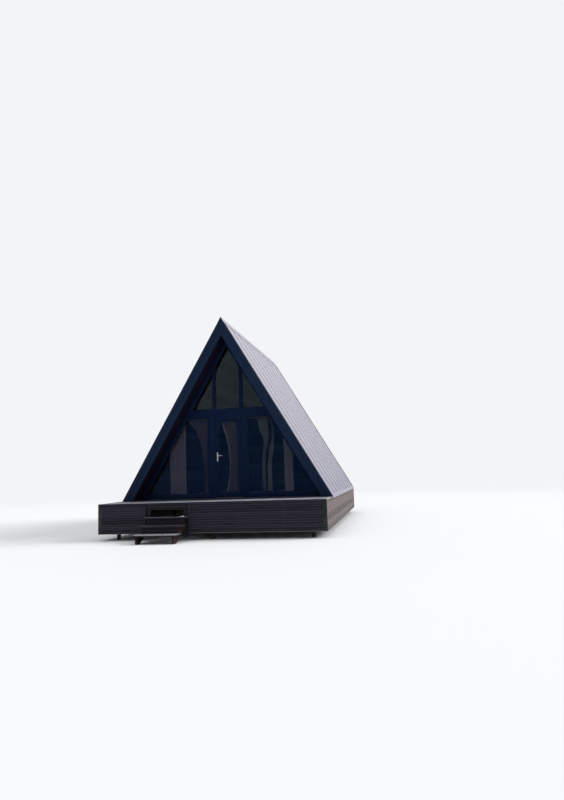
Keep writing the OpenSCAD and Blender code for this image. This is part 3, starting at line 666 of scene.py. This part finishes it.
# Lining: tongued boards with a V joint on the rooms' slopes, from the glazing to the back wall. They are
# nailed to the roof panels, under a smoky varnish.
varnish = stained_boards("lining_smoked_varnish", (0.09, 0.058, 0.040), (0.20, 0.135, 0.09), 0.36)
lining_low, lining_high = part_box("lining_right")
lining_count, tongue = 43, 0.0006
lining_pitch = (ridge_rise - (roof_t - lining_t) / slope_cos) / slope_sin / lining_count
lining_outline = eased(lining_pitch - tongue, board_t, 0.0004, 0.003) * (1, -1)
lining_run = Y * (lining_high.y - lining_low.y - 2 * lap)
for word, outward, down in slopes:
    foot = (half_at(0, roof_t - lining_t) * np.sign(down[0]), lining_low.y + lap, deck_z)
    starts = foot - lining_pitch * np.arange(lining_count)[:, None] * down
    mesh = boards(f"lining_boards_{word}", lining_outline, starts, lining_run, -down, outward)
    piece(mesh, varnish, [f"lining_{word}"])


# Back gable: dark boards outside, varnished boards inside and a timber wall between them, in two storeys.
# A painted cover board runs between the storeys at the height of the one in front.
def gable_boards(name, foot, head, count, outline):
    """Level boards across the space inside the roof, from foot to head above the deck, cut to the slope at
    both ends: a corner's half length is half_at its height. outline(pitch) is thickness, then height."""
    pitch = (head - foot) / count
    shape = np.array(outline(pitch), float)
    levels = (foot + pitch * np.arange(count))[:, None]
    reach = np.maximum(half_at(levels + shape[:, 1], roof_t), 0.0)
    return boards(name, shape, places(-reach, 0.0, levels + deck_z), reach[..., None] * 2 * X, Y, Z)


def clad(pitch):
    return skirt_outline(pitch) * (-1, 1) + (wall_high.y, 0)


def inner(pitch):
    return eased(pitch - tongue, 0.0145, 0.003, 0.0004)[:, ::-1] + (wall_low.y, 0)


def cover(pitch):
    return eased(0.160, pitch, 0.003) + (wall_low.y, 0)


def plain(first, last):
    """The outline of a layer from first to last along Y, by its height."""
    return lambda pitch: [(first, 0), (last, 0), (last, pitch), (first, pitch)]


core = plain(wall_low.y + 0.015, wall_high.y - skirt_t)
cover_foot, cover_head = (corner.z - deck_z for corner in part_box("back_transom"))
wall_head = 4.612
for word, foot, head, count in (("lower", 0.0, cover_foot, 39), ("upper", cover_head, wall_head, 35)):
    for layer, rows, outline, material, slot in (
        ("cladding", count, clad, skirt_stain, "skirt_boards"),
        ("studwork", 1, core, timber_across, "frame_timber"),
        ("lining", count // 2, inner, varnish, "lining_wood"),
    ):
        mesh = gable_boards(f"back_{layer}_{word}", foot, head, rows, outline)
        piece(mesh, material, [f"back_wall_{word}"])
piece(gable_boards("back_cover_board", cover_foot, cover_head, 1, cover), fascia_paint,
      ["back_transom"])


# Upper floor: boards on joists between the glazing and the back wall, lined underneath.
# Both layers run across the cabin and are nailed to the joists, the lining with a V at each joint.
def planked(first, last, count, upward):
    """Outlines, by their height, of boards side by side from first to last, with a V notch at each joint in
    the upper or the lower face."""
    notch = np.array([(-0.002, 0), (0, 0.002), (0.002, 0)])
    joints = np.linspace(first, last, count + 1)[1:-1, None, None] * (1, 0)
    face = np.concatenate([[(first, 0)], (joints + notch).reshape(-1, 2), [(last, 0)]])

    def outline(pitch):
        shown = face * (1, -1) + (0, pitch) if upward else face
        back = 0 if upward else pitch
        return np.concatenate([shown, [(last, back), (first, back)]])

    return outline


over_floor, floor_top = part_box("upper_floor")
over_foot, over_head, over_span = over_floor.z - deck_z, floor_top.z - deck_z, (over_floor.y, floor_top.y)
joist_foot, joist_head = over_foot + 0.015, over_head - 0.028
for layer, foot, head, outline, material, slot in (
    ("boards", joist_head, over_head, planked(*over_span, 52, True), oiled, "floor_boards"),
    ("joists", joist_foot, joist_head, plain(*over_span), timber_across, "frame_timber"),
    ("lining", over_foot, joist_foot, planked(*over_span, 58, False), varnish, "lining_wood"),
):
    mesh = gable_boards(f"upper_floor_{layer}", foot, head, 1, outline)
    piece(mesh, material, ["upper_floor"])


# Glazed front: foil-covered profiles, welded at the corners, with sloped beads and black gaskets. Two side
# lights stand on a sill beside the door, a cover hides the floor's edge, two posts divide the upper light.
@finished
def foil(shade, colour, light, rough):
    """Foil on a profile: one even colour with a faint pressed grain and a little dust; its sheen is tinted
    blue, a painted sheen.
    """
    place = shade.made("TexCoord", out=3)
    pressed = place.noise(260.0, 4.0, Roughness=0.7)
    dust = place.noise(3.5, 6.0).between(0.45, 0.75)
    return {
        "Base Color": (dust * 0.7 + pressed * 0.3).toned((0.1, colour), (0.95, light)),
        "Roughness": dust * 0.15 + rough,
        "Specular IOR Level": 0.08,
        # Painted sheen: the reflections are tinted blue like the light around the cabin.
        "Specular Tint": (0.4, 0.6, 1.0, 1),
        "Normal": pressed.bumped(0.12, 0.0008),
    }


def mitres(corners):
    """Inward directions at the corners of closed outlines that move both edges in by 1: the sum of the
    edges' inward normals over 1 plus their product."""
    corners = np.asarray(corners, float)
    ahead = np.roll(corners, -1, -2)
    edge = unit(ahead - corners)
    turning = np.sign((corners[..., 0] * ahead[..., 1] - ahead[..., 0] * corners[..., 1]).sum(-1))
    normal = edge[..., ::-1] * (-1, 1) * turning[..., None, None]
    before = np.roll(normal, 1, -2)
    return (normal + before) / (1 + (normal * before).sum(-1))[..., None]


frame_foil = foil("frame_blue_black_foil", (0.003, 0.009, 0.032), (0.0055, 0.0135, 0.041), 0.34)
gasket_rubber = foil("gasket_rubber", (0.006, 0.006, 0.007), (0.02, 0.02, 0.02), 0.6)
sill_top, frame_top = glaze_low.z - deck_z, glaze_high.z - deck_z
upper_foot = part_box("transom")[1].z - deck_z
frame_w, door_half = 0.105, 0.5
pane_depth, gasket_seat = roof_t + frame_w, 0.023
bead_slope = np.array([(0.070, 0), (0.073, 0.003), (0.101, 0.016), (frame_w, 0.021)])
profile = np.concatenate([
    [(0.0, front_y + 0.001), (0.001, front_y)], bead_slope + (0, front_y),
    bead_slope[::-1] * (1, -1) + (0, rear_y), [(0.0, rear_y)],
])
side_light = np.array([
    (door_half, sill_top), (half_at(sill_top, roof_t), sill_top), (half_at(frame_top, roof_t), frame_top),
    (door_half, frame_top),
])
side_lights = np.stack([side_light * (-1, 1), side_light])
upper_half = half_at(upper_foot, roof_t)
upper_light = [(-upper_half, upper_foot), (upper_half, upper_foot), (0, ridge_rise - roof_t / slope_cos)]
for name, lights, nodes in (
    ("side_light_profiles", side_lights, ["lower_frame_left", "lower_frame_right"]),
    ("upper_light_profiles", upper_light, ["upper_frame"]),
):
    piece(framed(name, lights, mitres(lights), profile, True), frame_foil, nodes)
post_x, post_half = 0.4, frame_w / 2
post_outline = np.array([
    (-post_half, 0.021), (-0.030, 0.002), (-0.028, 0.0), (0.028, 0.0), (0.030, 0.002), (post_half, 0.021),
    (post_half, 0.049), (0.030, 0.068), (0.028, 0.070), (-0.028, 0.070), (-0.030, 0.068),
    (-post_half, 0.049),
])
pane_foot = upper_foot + frame_w
post_head = height_at(np.abs([[-post_x], [post_x]] + post_outline[:, 0]), pane_depth)
piece(
    boards("upper_light_posts", post_outline, places([-post_x, post_x], front_y, deck_z + pane_foot),
           (post_head - pane_foot + 0.004)[..., None] * Z, X, Y),
    frame_foil, ["upper_frame"],
)
in_x, out_x = post_x - post_half, post_x + post_half
in_head, out_head, mid_head = height_at(np.array([in_x, out_x, 0]), pane_depth)
side_pane = np.array([(out_x, pane_foot), (half_at(pane_foot, pane_depth), pane_foot), (out_x, out_head)])
middle_pane = [(-in_x, pane_foot), (in_x, pane_foot), (in_x, in_head), (0, mid_head), (-in_x, in_head)]


def gaskets(word, panes, front, rear, lip, body="cabin"):
    """Strips round panes, one in front of the glass and one behind it, with a lip at the profile."""
    for place, y, out in (("front", front, -1), ("rear", rear, 1)):
        strip = [(-0.001, y), (0.006, y), (0.005, y + out * 0.002), (-0.001, y + out * lip)]
        mesh = framed(f"gasket_{word}_{place}", panes, mitres(panes), strip, True)
        piece(mesh, gasket_rubber, body=body)


for word, panes in (
    ("side", side_lights + mitres(side_lights) * frame_w),
    ("upper_side", np.stack([side_pane * (-1, 1), side_pane])),
    ("upper_middle", middle_pane),
):
    gaskets(word, panes, front_y + gasket_seat, rear_y - gasket_seat, 0.004)


def beam_cover(pitch):
    return [(front_y + 0.002, 0.0), (rear_y, 0.0), (rear_y, pitch), (front_y + 0.002, pitch),
            (front_y, pitch - 0.002), (front_y, 0.002)]


piece(gable_boards("storey_cover_profile", frame_top, upper_foot, 1, beam_cover), frame_foil,
      ["transom"])
sill_outline = np.array([
    (0.0, 0.0), (0.070, 0.0), (0.070, 0.040), (0.0, 0.040), (-0.006, 0.036), (-0.006, 0.032), (0.0, 0.034),
])
sill_reach = half_at(sill_outline[:, 1], roof_t)
sill_starts = places([-sill_reach, np.full(len(sill_outline), door_half)], front_y, deck_z)
sill_runs = np.stack([sill_reach - door_half] * 2)[..., None] * X
piece(boards("sill_profiles", sill_outline, sill_starts, sill_runs, Y, Z), frame_foil,
      ["sill"])


# Panes: sealed double glazing, toned grey against the sun, with a thin cloudy film of dust.
# The beads of the profiles hold them on both sides.
@finished
def toned_glass(shade, bend, painted_reflection_tint):
    """Toned glass: bend is its index of refraction, mirror the tint of its reflections: a painted
    reflection, bluish like the surroundings. Its thin film of dust shows as roughness, more in cloudy
    patches."""
    film = shade.made("TexCoord", out=3).noise(2.2, 6.0).between(0.5, 0.8)
    return {
        "Base Color": film.toned((0.0, (0.45, 0.46, 0.48)), (1.0, (0.40, 0.42, 0.45))),
        "Roughness": film * 0.02 + 0.004,
        "IOR": bend,
        "Transmission Weight": 1.0,
        "Specular Tint": (*painted_reflection_tint, 1),
    }


# The reflections of the glazing are tinted blue: painted reflection of the surroundings.
coat(toned_glass("lower_glazing", 1.26, (0.12, 0.34, 1.0)), "lower_glass", "door_glass")
coat(toned_glass("upper_sun_glazing", 1.32, (0.60, 0.80, 0.93)), "upper_glass")


# Door: a frame of the same profile with a stop behind the leaf and a low threshold, and a glazed leaf hung
# on its right, on hinges coated like the roof's edge trim.
door_frame_in = [(0.11, 0), (0.11, -0.105), (-0.11, -0.105), (-0.11, 0)]
door_corners = [(-door_half, 0), (-door_half, frame_top), (door_half, frame_top), (door_half, 0)]
stop_y = rear_y - 0.009
jamb_section = [
    (0, front_y), (0.975, front_y), (1.0, front_y + 0.003), (1.0, stop_y), (1.164, stop_y), (1.164, rear_y),
    (0, rear_y),
]
piece(framed("door_frame_profiles", door_corners, door_frame_in, jamb_section, False), frame_foil,
      ["door_frame"])
threshold = [
    (0.002, 0), (0.070, 0), (0.070, 0.040), (0.058, 0.040), (0.056, 0.034), (0.010, 0.028), (0.002, 0.022),
]
threshold_metal = coated_metal("threshold_dark_aluminium", (0.03, 0.034, 0.045), (0.08, 0.08, 0.08), 0.35,
                               dust=0.5)
threshold_half = 0.39
threshold_start = [(-threshold_half, front_y, deck_z)]
piece(boards("door_threshold", threshold, threshold_start, X * 2 * threshold_half, Y, Z), threshold_metal,
      ["door_frame"])
leaf_low, leaf_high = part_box("door_leaf")
leaf_front, leaf_rear = leaf_low.y, leaf_high.y
leaf_corners = places([leaf_low.x, leaf_high.x, leaf_high.x, leaf_low.x],
                      np.repeat([leaf_low.z, leaf_high.z], 2) - deck_z)
stile, rail_foot, rail_head = 0.110, 0.130, 0.085
leaf_in = [(stile, rail_foot), (-stile, rail_foot), (-stile, -rail_head), (stile, -rail_head)]
leaf_half = np.array([(0, 0.002), (0.02, 0), (0.80, 0), (0.83, 0.003), (0.97, 0.012), (1.0, 0.015)])
leaf_section = np.concatenate([leaf_half + (0, leaf_front), leaf_half[::-1] * (1, -1) + (0, leaf_rear)])
piece(framed("door_leaf_profiles", leaf_corners, leaf_in, leaf_section, True), frame_foil,
      ["door_leaf"], "door")
gaskets("door", leaf_corners + leaf_in, leaf_front + 0.017, leaf_rear - 0.017, 0.003, "door")
coat(trim_coat, "frame_hinges", "leaf_hinges")


# Door handle: a long cast plate with a lever on each side of the leaf and a lock under it, coated
# white-silver. The plates are screwed to each other through the leaf.
def tube(name, path, radius):
    """A round bar along a level path: ring i lies round path[i], with radius[i], between the path's level
    side direction and the vertical."""
    ring = circle(16, np.cross(unit(np.gradient(path, axis=0)), Z)[:, None], Z)
    mesh = ringed(name, (path[:, None] + radius[:, None, None] * ring)[None], np.zeros(1))
    mesh.shade_smooth()
    return mesh


handle_low, handle_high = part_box("door_handle")
handle_x, lever_z = leaf_low.x + stile / 2, handle_low.z + 0.158
lever_r, bend_r, lever_out, lock_drop = 0.010, 0.014, 0.040, 0.085
silver = coated_metal("handle_silver_coating", (0.60, 0.62, 0.66), (0.42, 0.43, 0.45), 0.28, dust=0.2)
plate_half_w, plate_half, plate_round, plate_t = 0.016, (handle_high.z - handle_low.z) / 2, 0.012, 0.008
turn = np.linspace(0, 2 * np.pi, 25)[:-1]
plate_x = (np.cos(turn) + np.sign(np.cos(turn))) * plate_half_w / 2
plate_z = np.sin(turn) * plate_round + np.where(np.sin(turn) > 0, 1, -1) * (plate_half - plate_round)
inset, stand = np.array([(0.0, 0.0), (0.0, 0.005), (0.003, plate_t)]).T[..., None]
bend = np.linspace(0, np.pi / 2, 7)
arm_radius = np.append(np.linspace(lever_r, 0.0085, 11), 0.005)
lock_rings = [(0.0085, 0), (0.0085, 0.003), (0.007, 0.004), (0.006, 0.0035)]
for word, face, out in (("outer", leaf_front, -1), ("inner", leaf_rear, 1)):
    plate = places(handle_x + plate_x * (1 - inset / plate_half_w), face + out * stand,
                   handle_low.z + plate_half + plate_z * (1 - inset / plate_half))
    mesh = ringed(f"handle_plate_{word}", plate[None], np.zeros(1))
    piece(mesh, silver, ["door_handle"], "door")
    reach = out * (plate_t + lever_out - lever_r)
    neck = places(0.0, np.linspace(out * plate_t, reach - out * bend_r, 4))
    curve = places(bend_r - bend_r * np.cos(bend), reach - out * bend_r + out * bend_r * np.sin(bend))
    arm = places(np.linspace(0.020, 0.140, len(arm_radius)), reach)
    path = np.concatenate([neck, curve, arm])
    path = places(path[:, 0] + handle_x, path[:, 1] + face, lever_z)
    radius = np.append(np.full(len(neck) + len(curve), lever_r), arm_radius)
    piece(tube(f"handle_lever_{word}", path, radius), silver, ["door_handle"], "door")
    lock = [(handle_x, face + out * (plate_t - 0.0002), lever_z - lock_drop)]
    piece(heads(f"handle_lock_{word}", lock, Y * out, lock_rings, 20), silver, body="door")


# Curtains: light woven cloth, gathered on a grey rail under the upper floor and drawn aside in swags.
# The outer panels hang straight and are cut along the top to the roof's slope.
rail_grey = coated_metal("curtain_rail_grey", (0.12, 0.12, 0.13), (0.16, 0.155, 0.15), 0.35, dust=0.2)
coat(rail_grey, "curtain_rail")


@finished
def woven(shade, colour, shaded, hem):
    """Plain cloth: threads as two crossed waves over uv in metres, about 1.5 a millimetre, with slubs in
    them; its side borders, where "board" is 1, are paler."""
    place = shade.made("UVMap", {"uv_map": "grain"})
    slubs = place.noise(40.0, 5.0)
    waved = {"Vector": place, "Scale": 240.0, "Distortion": 1.0}
    warp, weft = (shade.made("TexWave", {"bands_direction": axis}, waved) for axis in "XY")
    threads = (warp + weft) * 0.5
    weave = (slubs * 0.7 + threads * 0.3).toned((0.3, shaded), (0.7, colour))
    border = (slubs * 0.6 + threads * 0.4).toned((0.2, np.multiply(hem, 0.75)), (0.8, hem))
    at_hem = shade.made("Attribute", {"attribute_name": "board"}, out=2)
    return {
        "Base Color": at_hem.mixed(weave, border),
        "Roughness": 0.9,
        "Sheen Weight": 0.25,
        "Normal": threads.bumped(0.3, 0.0005),
    }


def fold_depth(width, cloth, slant):
    """Half depth of each row's folds such that the row is as long as the cloth is wide. slant is how fast a
    fold of depth 1 rises at points along a row of width 1."""
    low, high = np.zeros_like(width), np.full_like(width, 0.2)
    for _ in range(30):
        depth = (low + high) / 2
        long = np.sqrt(width[:, None] ** 2 + (depth[:, None] * slant) ** 2).mean(1)
        low, high = np.where(long < cloth, depth, low), np.where(long < cloth, high, depth)
    return (low + high) / 2


def hung_cloth(name, node, levels, left, right, cloth, folds, thread, sloped=False):
    """A hanging panel: rows between edges that run smoothly through left and right at the given levels over
    the deck, folded along X in sine waves that fade out towards both borders, as deep as keeps the cloth's
    width the same in every row. A sloped panel is cut along the top to hang under the roof's lining."""
    rows, across, border = 90, folds * 14, 0.09
    t, s = np.linspace(0, 1, rows), np.linspace(0, 1, across)
    drop = levels[0] - levels[-1]
    level = levels[0] - drop * t
    soft = np.hanning(13)[1:-1] / np.hanning(13).sum()
    a, b = (
        np.convolve(np.pad(np.interp(level, levels[::-1], edge[::-1]), 5, "edge"), soft, "valid")
        for edge in (left, right)
    )
    fade = np.clip(s / border, 0, 1) * np.clip((1 - s) / border, 0, 1)
    depth = fold_depth(b - a, cloth, np.gradient(fade * np.sin(2 * np.pi * folds * s), s))
    drift = 0.35 * np.sin(2 * np.pi * (2.3 * t[:, None] + 1.7 * s))
    x = a[:, None] + (b - a)[:, None] * s
    fold = depth[:, None] * fade * np.sin(2 * np.pi * folds * s + drift)
    z = np.broadcast_to(level[:, None], x.shape)
    if sloped:
        head = np.minimum(height_at(np.abs(x), roof_t) - 0.02, levels[0])
        z = levels[-1] + (z - levels[-1]) * (head - levels[-1]) / drop
    index = np.arange(rows * across).reshape(rows, across)
    quads = np.stack([index[:-1, :-1], index[:-1, 1:], index[1:, 1:], index[1:, :-1]], -1).reshape(-1, 4)
    uv = places(s * cloth, z).reshape(-1, 2)[quads.ravel()]
    hem = np.broadcast_to((s < border) | (s > 1 - border), z.shape)
    mesh = mesh_of(name, places(x, hang_y + fold, z + deck_z), [quads], [uv], hem)
    mesh.shade_smooth()
    made = piece(mesh, thread, [node])
    thick = made.modifiers.new("cloth_thickness", "SOLIDIFY")
    thick.thickness, thick.offset = 0.0012, 0.0


linen = woven("curtain_rose_grey_linen", (0.50, 0.42, 0.42), (0.36, 0.30, 0.31), (0.48, 0.41, 0.40))
# The right side panel's linen is a paler copy of the left one's: painted light on the right side.
linen_painted_light = woven("curtain_warm_grey_linen", (0.60, 0.52, 0.49), (0.43, 0.37, 0.36), (0.58, 0.50, 0.46))
rose = woven("curtain_rose_brown_cloth", (0.31, 0.195, 0.175), (0.16, 0.102, 0.10), (0.36, 0.25, 0.22))
sage = woven("curtain_grey_green_cloth", (0.42, 0.44, 0.30), (0.22, 0.24, 0.17), (0.48, 0.50, 0.34))
brown = woven("curtain_grey_brown_cloth", (0.33, 0.25, 0.205), (0.20, 0.15, 0.125), (0.46, 0.48, 0.36))
rail_low, rail_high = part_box("curtain_rail")
hang_y = (rail_low.y + rail_high.y) / 2
top, foot = rail_low.z - deck_z - 0.002, 0.032
hung_cloth(
    "curtain_left_swag", "curtains_left",
    [top, 2.19, 2.06, 1.98, 1.78, 1.61, 1.43, 1.25, 1.08, 0.90, 0.73, foot],
    [-1.245, -1.21, -1.10, -1.02, -0.955, -0.895, -0.862, -0.842, -0.817, -0.79, -0.765, -0.80],
    [-0.615, -0.622, -0.64, -0.66, -0.68, -0.69] + [-0.70] * 6, 0.95, 7, rose,
)
hung_cloth("curtain_left_side", "curtains_left", [2.20, foot], [-1.832] * 2, [-1.345] * 2, 1.1, 8, linen,
           True)
hung_cloth(
    "curtain_door_panel", "curtain_middle", [top, 2.03, 1.75, 1.48, 1.19, 0.97, 0.64, 0.29, foot],
    [-0.285, -0.207, -0.12, -0.058, -0.03, -0.015, -0.033, -0.11, -0.165], [0.41] * 9, 1.5, 9, brown,
)
hung_cloth(
    "curtain_right_swag", "curtains_right",
    [top, 2.19, 2.03, 1.94, 1.85, 1.76, 1.67, 1.59, 1.50, 1.41, 1.33, 1.24, 1.07, 0.99, foot],
    [0.82, 0.85, 0.866, 0.884, 0.911, 0.959, 0.994, 1.007, 1.00, 0.992, 0.975, 0.957, 0.944, 0.935, 0.925],
    [1.115, 1.122, 1.137, 1.141, 1.147, 1.148, 1.148, 1.14, 1.12, 1.089, 1.066, 1.046, 1.035, 1.028, 1.03],
    0.56, 5, sage,
)
hung_cloth(
    "curtain_right_strip", "curtains_right",
    [top, 2.24, 2.19, 2.10, 1.83, 1.66, 1.58, 1.49, 1.41, 1.32, 1.23, 1.15, 1.06, 0.90, foot],
    [1.13, 1.175, 1.20, 1.232, 1.243, 1.240, 1.227, 1.197, 1.160, 1.158, 1.157, 1.150, 1.122, 1.095, 1.085],
    [1.235, 1.25, 1.272, 1.292, 1.303, 1.303, 1.302, 1.298, 1.295, 1.288, 1.256, 1.242, 1.222, 1.214, 1.22],
    0.32, 3, sage,
)
hung_cloth("curtain_right_side", "curtains_right", [1.89, foot], [1.578] * 2, [1.835] * 2, 0.6, 5,
           linen_painted_light, True)


# Studio: a pale floor that runs out into the background, an even sky of light, a soft sun from the right
# and a second, wider one from above.
pale = (0.89, 0.91, 0.93, 1)
sky = bpy.data.worlds.new("studio_sky")
air = emptied(sky)
seen = air.made("LightPath") + air.made("LightPath", out=3) + air.made("LightPath", out=6)
lit = air.made("Background", {}, {"Color": (0.97, 0.99, 1.0, 1), "Strength": 0.55})
shown = air.made("Background", {}, {"Color": pale, "Strength": 1.0})
both = air.made("MixShader", {}, {0: seen.between(0.0, 1.0), 1: lit, 2: shown})
air.made("OutputWorld", {}, {"Surface": both})
bpy.context.scene.world = sky

ground_mesh = bpy.data.meshes.new("studio_floor")
ground_mesh.from_pydata([(-400, -400, 0), (400, -400, 0), (400, 400, 0), (-400, 400, 0)], [], [(0, 1, 2, 3)])
ground_paint = bpy.data.materials.new("studio_floor_paint")
paint = emptied(ground_paint)
reach = paint.made("VectorMath", {"operation": "LENGTH"}, {0: paint.made("TexCoord", out=3)}, 1)
matt = paint.made("BsdfPrincipled", {}, {"Base Color": (0.80, 0.81, 0.82, 1), "Roughness": 0.9})
glow = paint.made("Emission", {}, {"Color": pale, "Strength": 1.0})
blend = paint.made("MixShader", {}, {0: reach.between(11.0, 34.0), 1: matt, 2: glow})
paint.made("OutputMaterial", {}, {"Surface": blend})
ground_mesh.materials.append(ground_paint)
placed("studio_floor", ground_mesh)

for name, towards, strength, spread in (
    ("studio_key", (0.83, 0.22, 0.51), 2.45, 0.5),
    ("studio_top", (0.0, -0.25, 1.0), 0.8, 1.4),
):
    lamp_data = bpy.data.lights.new(name, "SUN")
    lamp_data.energy, lamp_data.angle = strength, spread
    lamp = placed(name, lamp_data)
    lamp.rotation_mode = "QUATERNION"
    lamp.rotation_quaternion = Vector(towards).to_track_quat("Z", "Y")


# Camera: where the photograph was taken from, 1.65 m above the ground and turned left of the cabin's
# length. Its place, its lens and its turns come from the straight edges of the roof and the platform.
yaw, lift, roll, focal_px, frame_px = -0.177, 0.1131, -0.0331, 630.05, 800
ahead = np.array([np.sin(yaw) * np.cos(lift), np.cos(yaw) * np.cos(lift), np.sin(lift)])
level = np.array([np.cos(yaw), -np.sin(yaw), 0.0])
aside = np.cos(roll) * level + np.sin(roll) * np.cross(level, ahead)
turned = Matrix(np.stack([aside, np.cross(aside, ahead), -ahead], 1).tolist())
camera_data = bpy.data.cameras.new("photograph_view")
camera_data.sensor_width, camera_data.lens = 36.0, 36.0 * focal_px / frame_px
camera_data.clip_end = 2000.0
camera = placed("photograph_view", camera_data)
camera.matrix_world = Matrix.Translation((4.7515, -19.883, 1.6465)) @ turned.to_4x4()
bpy.context.scene.camera = camera
bpy.context.scene.view_settings.view_transform = "Standard"
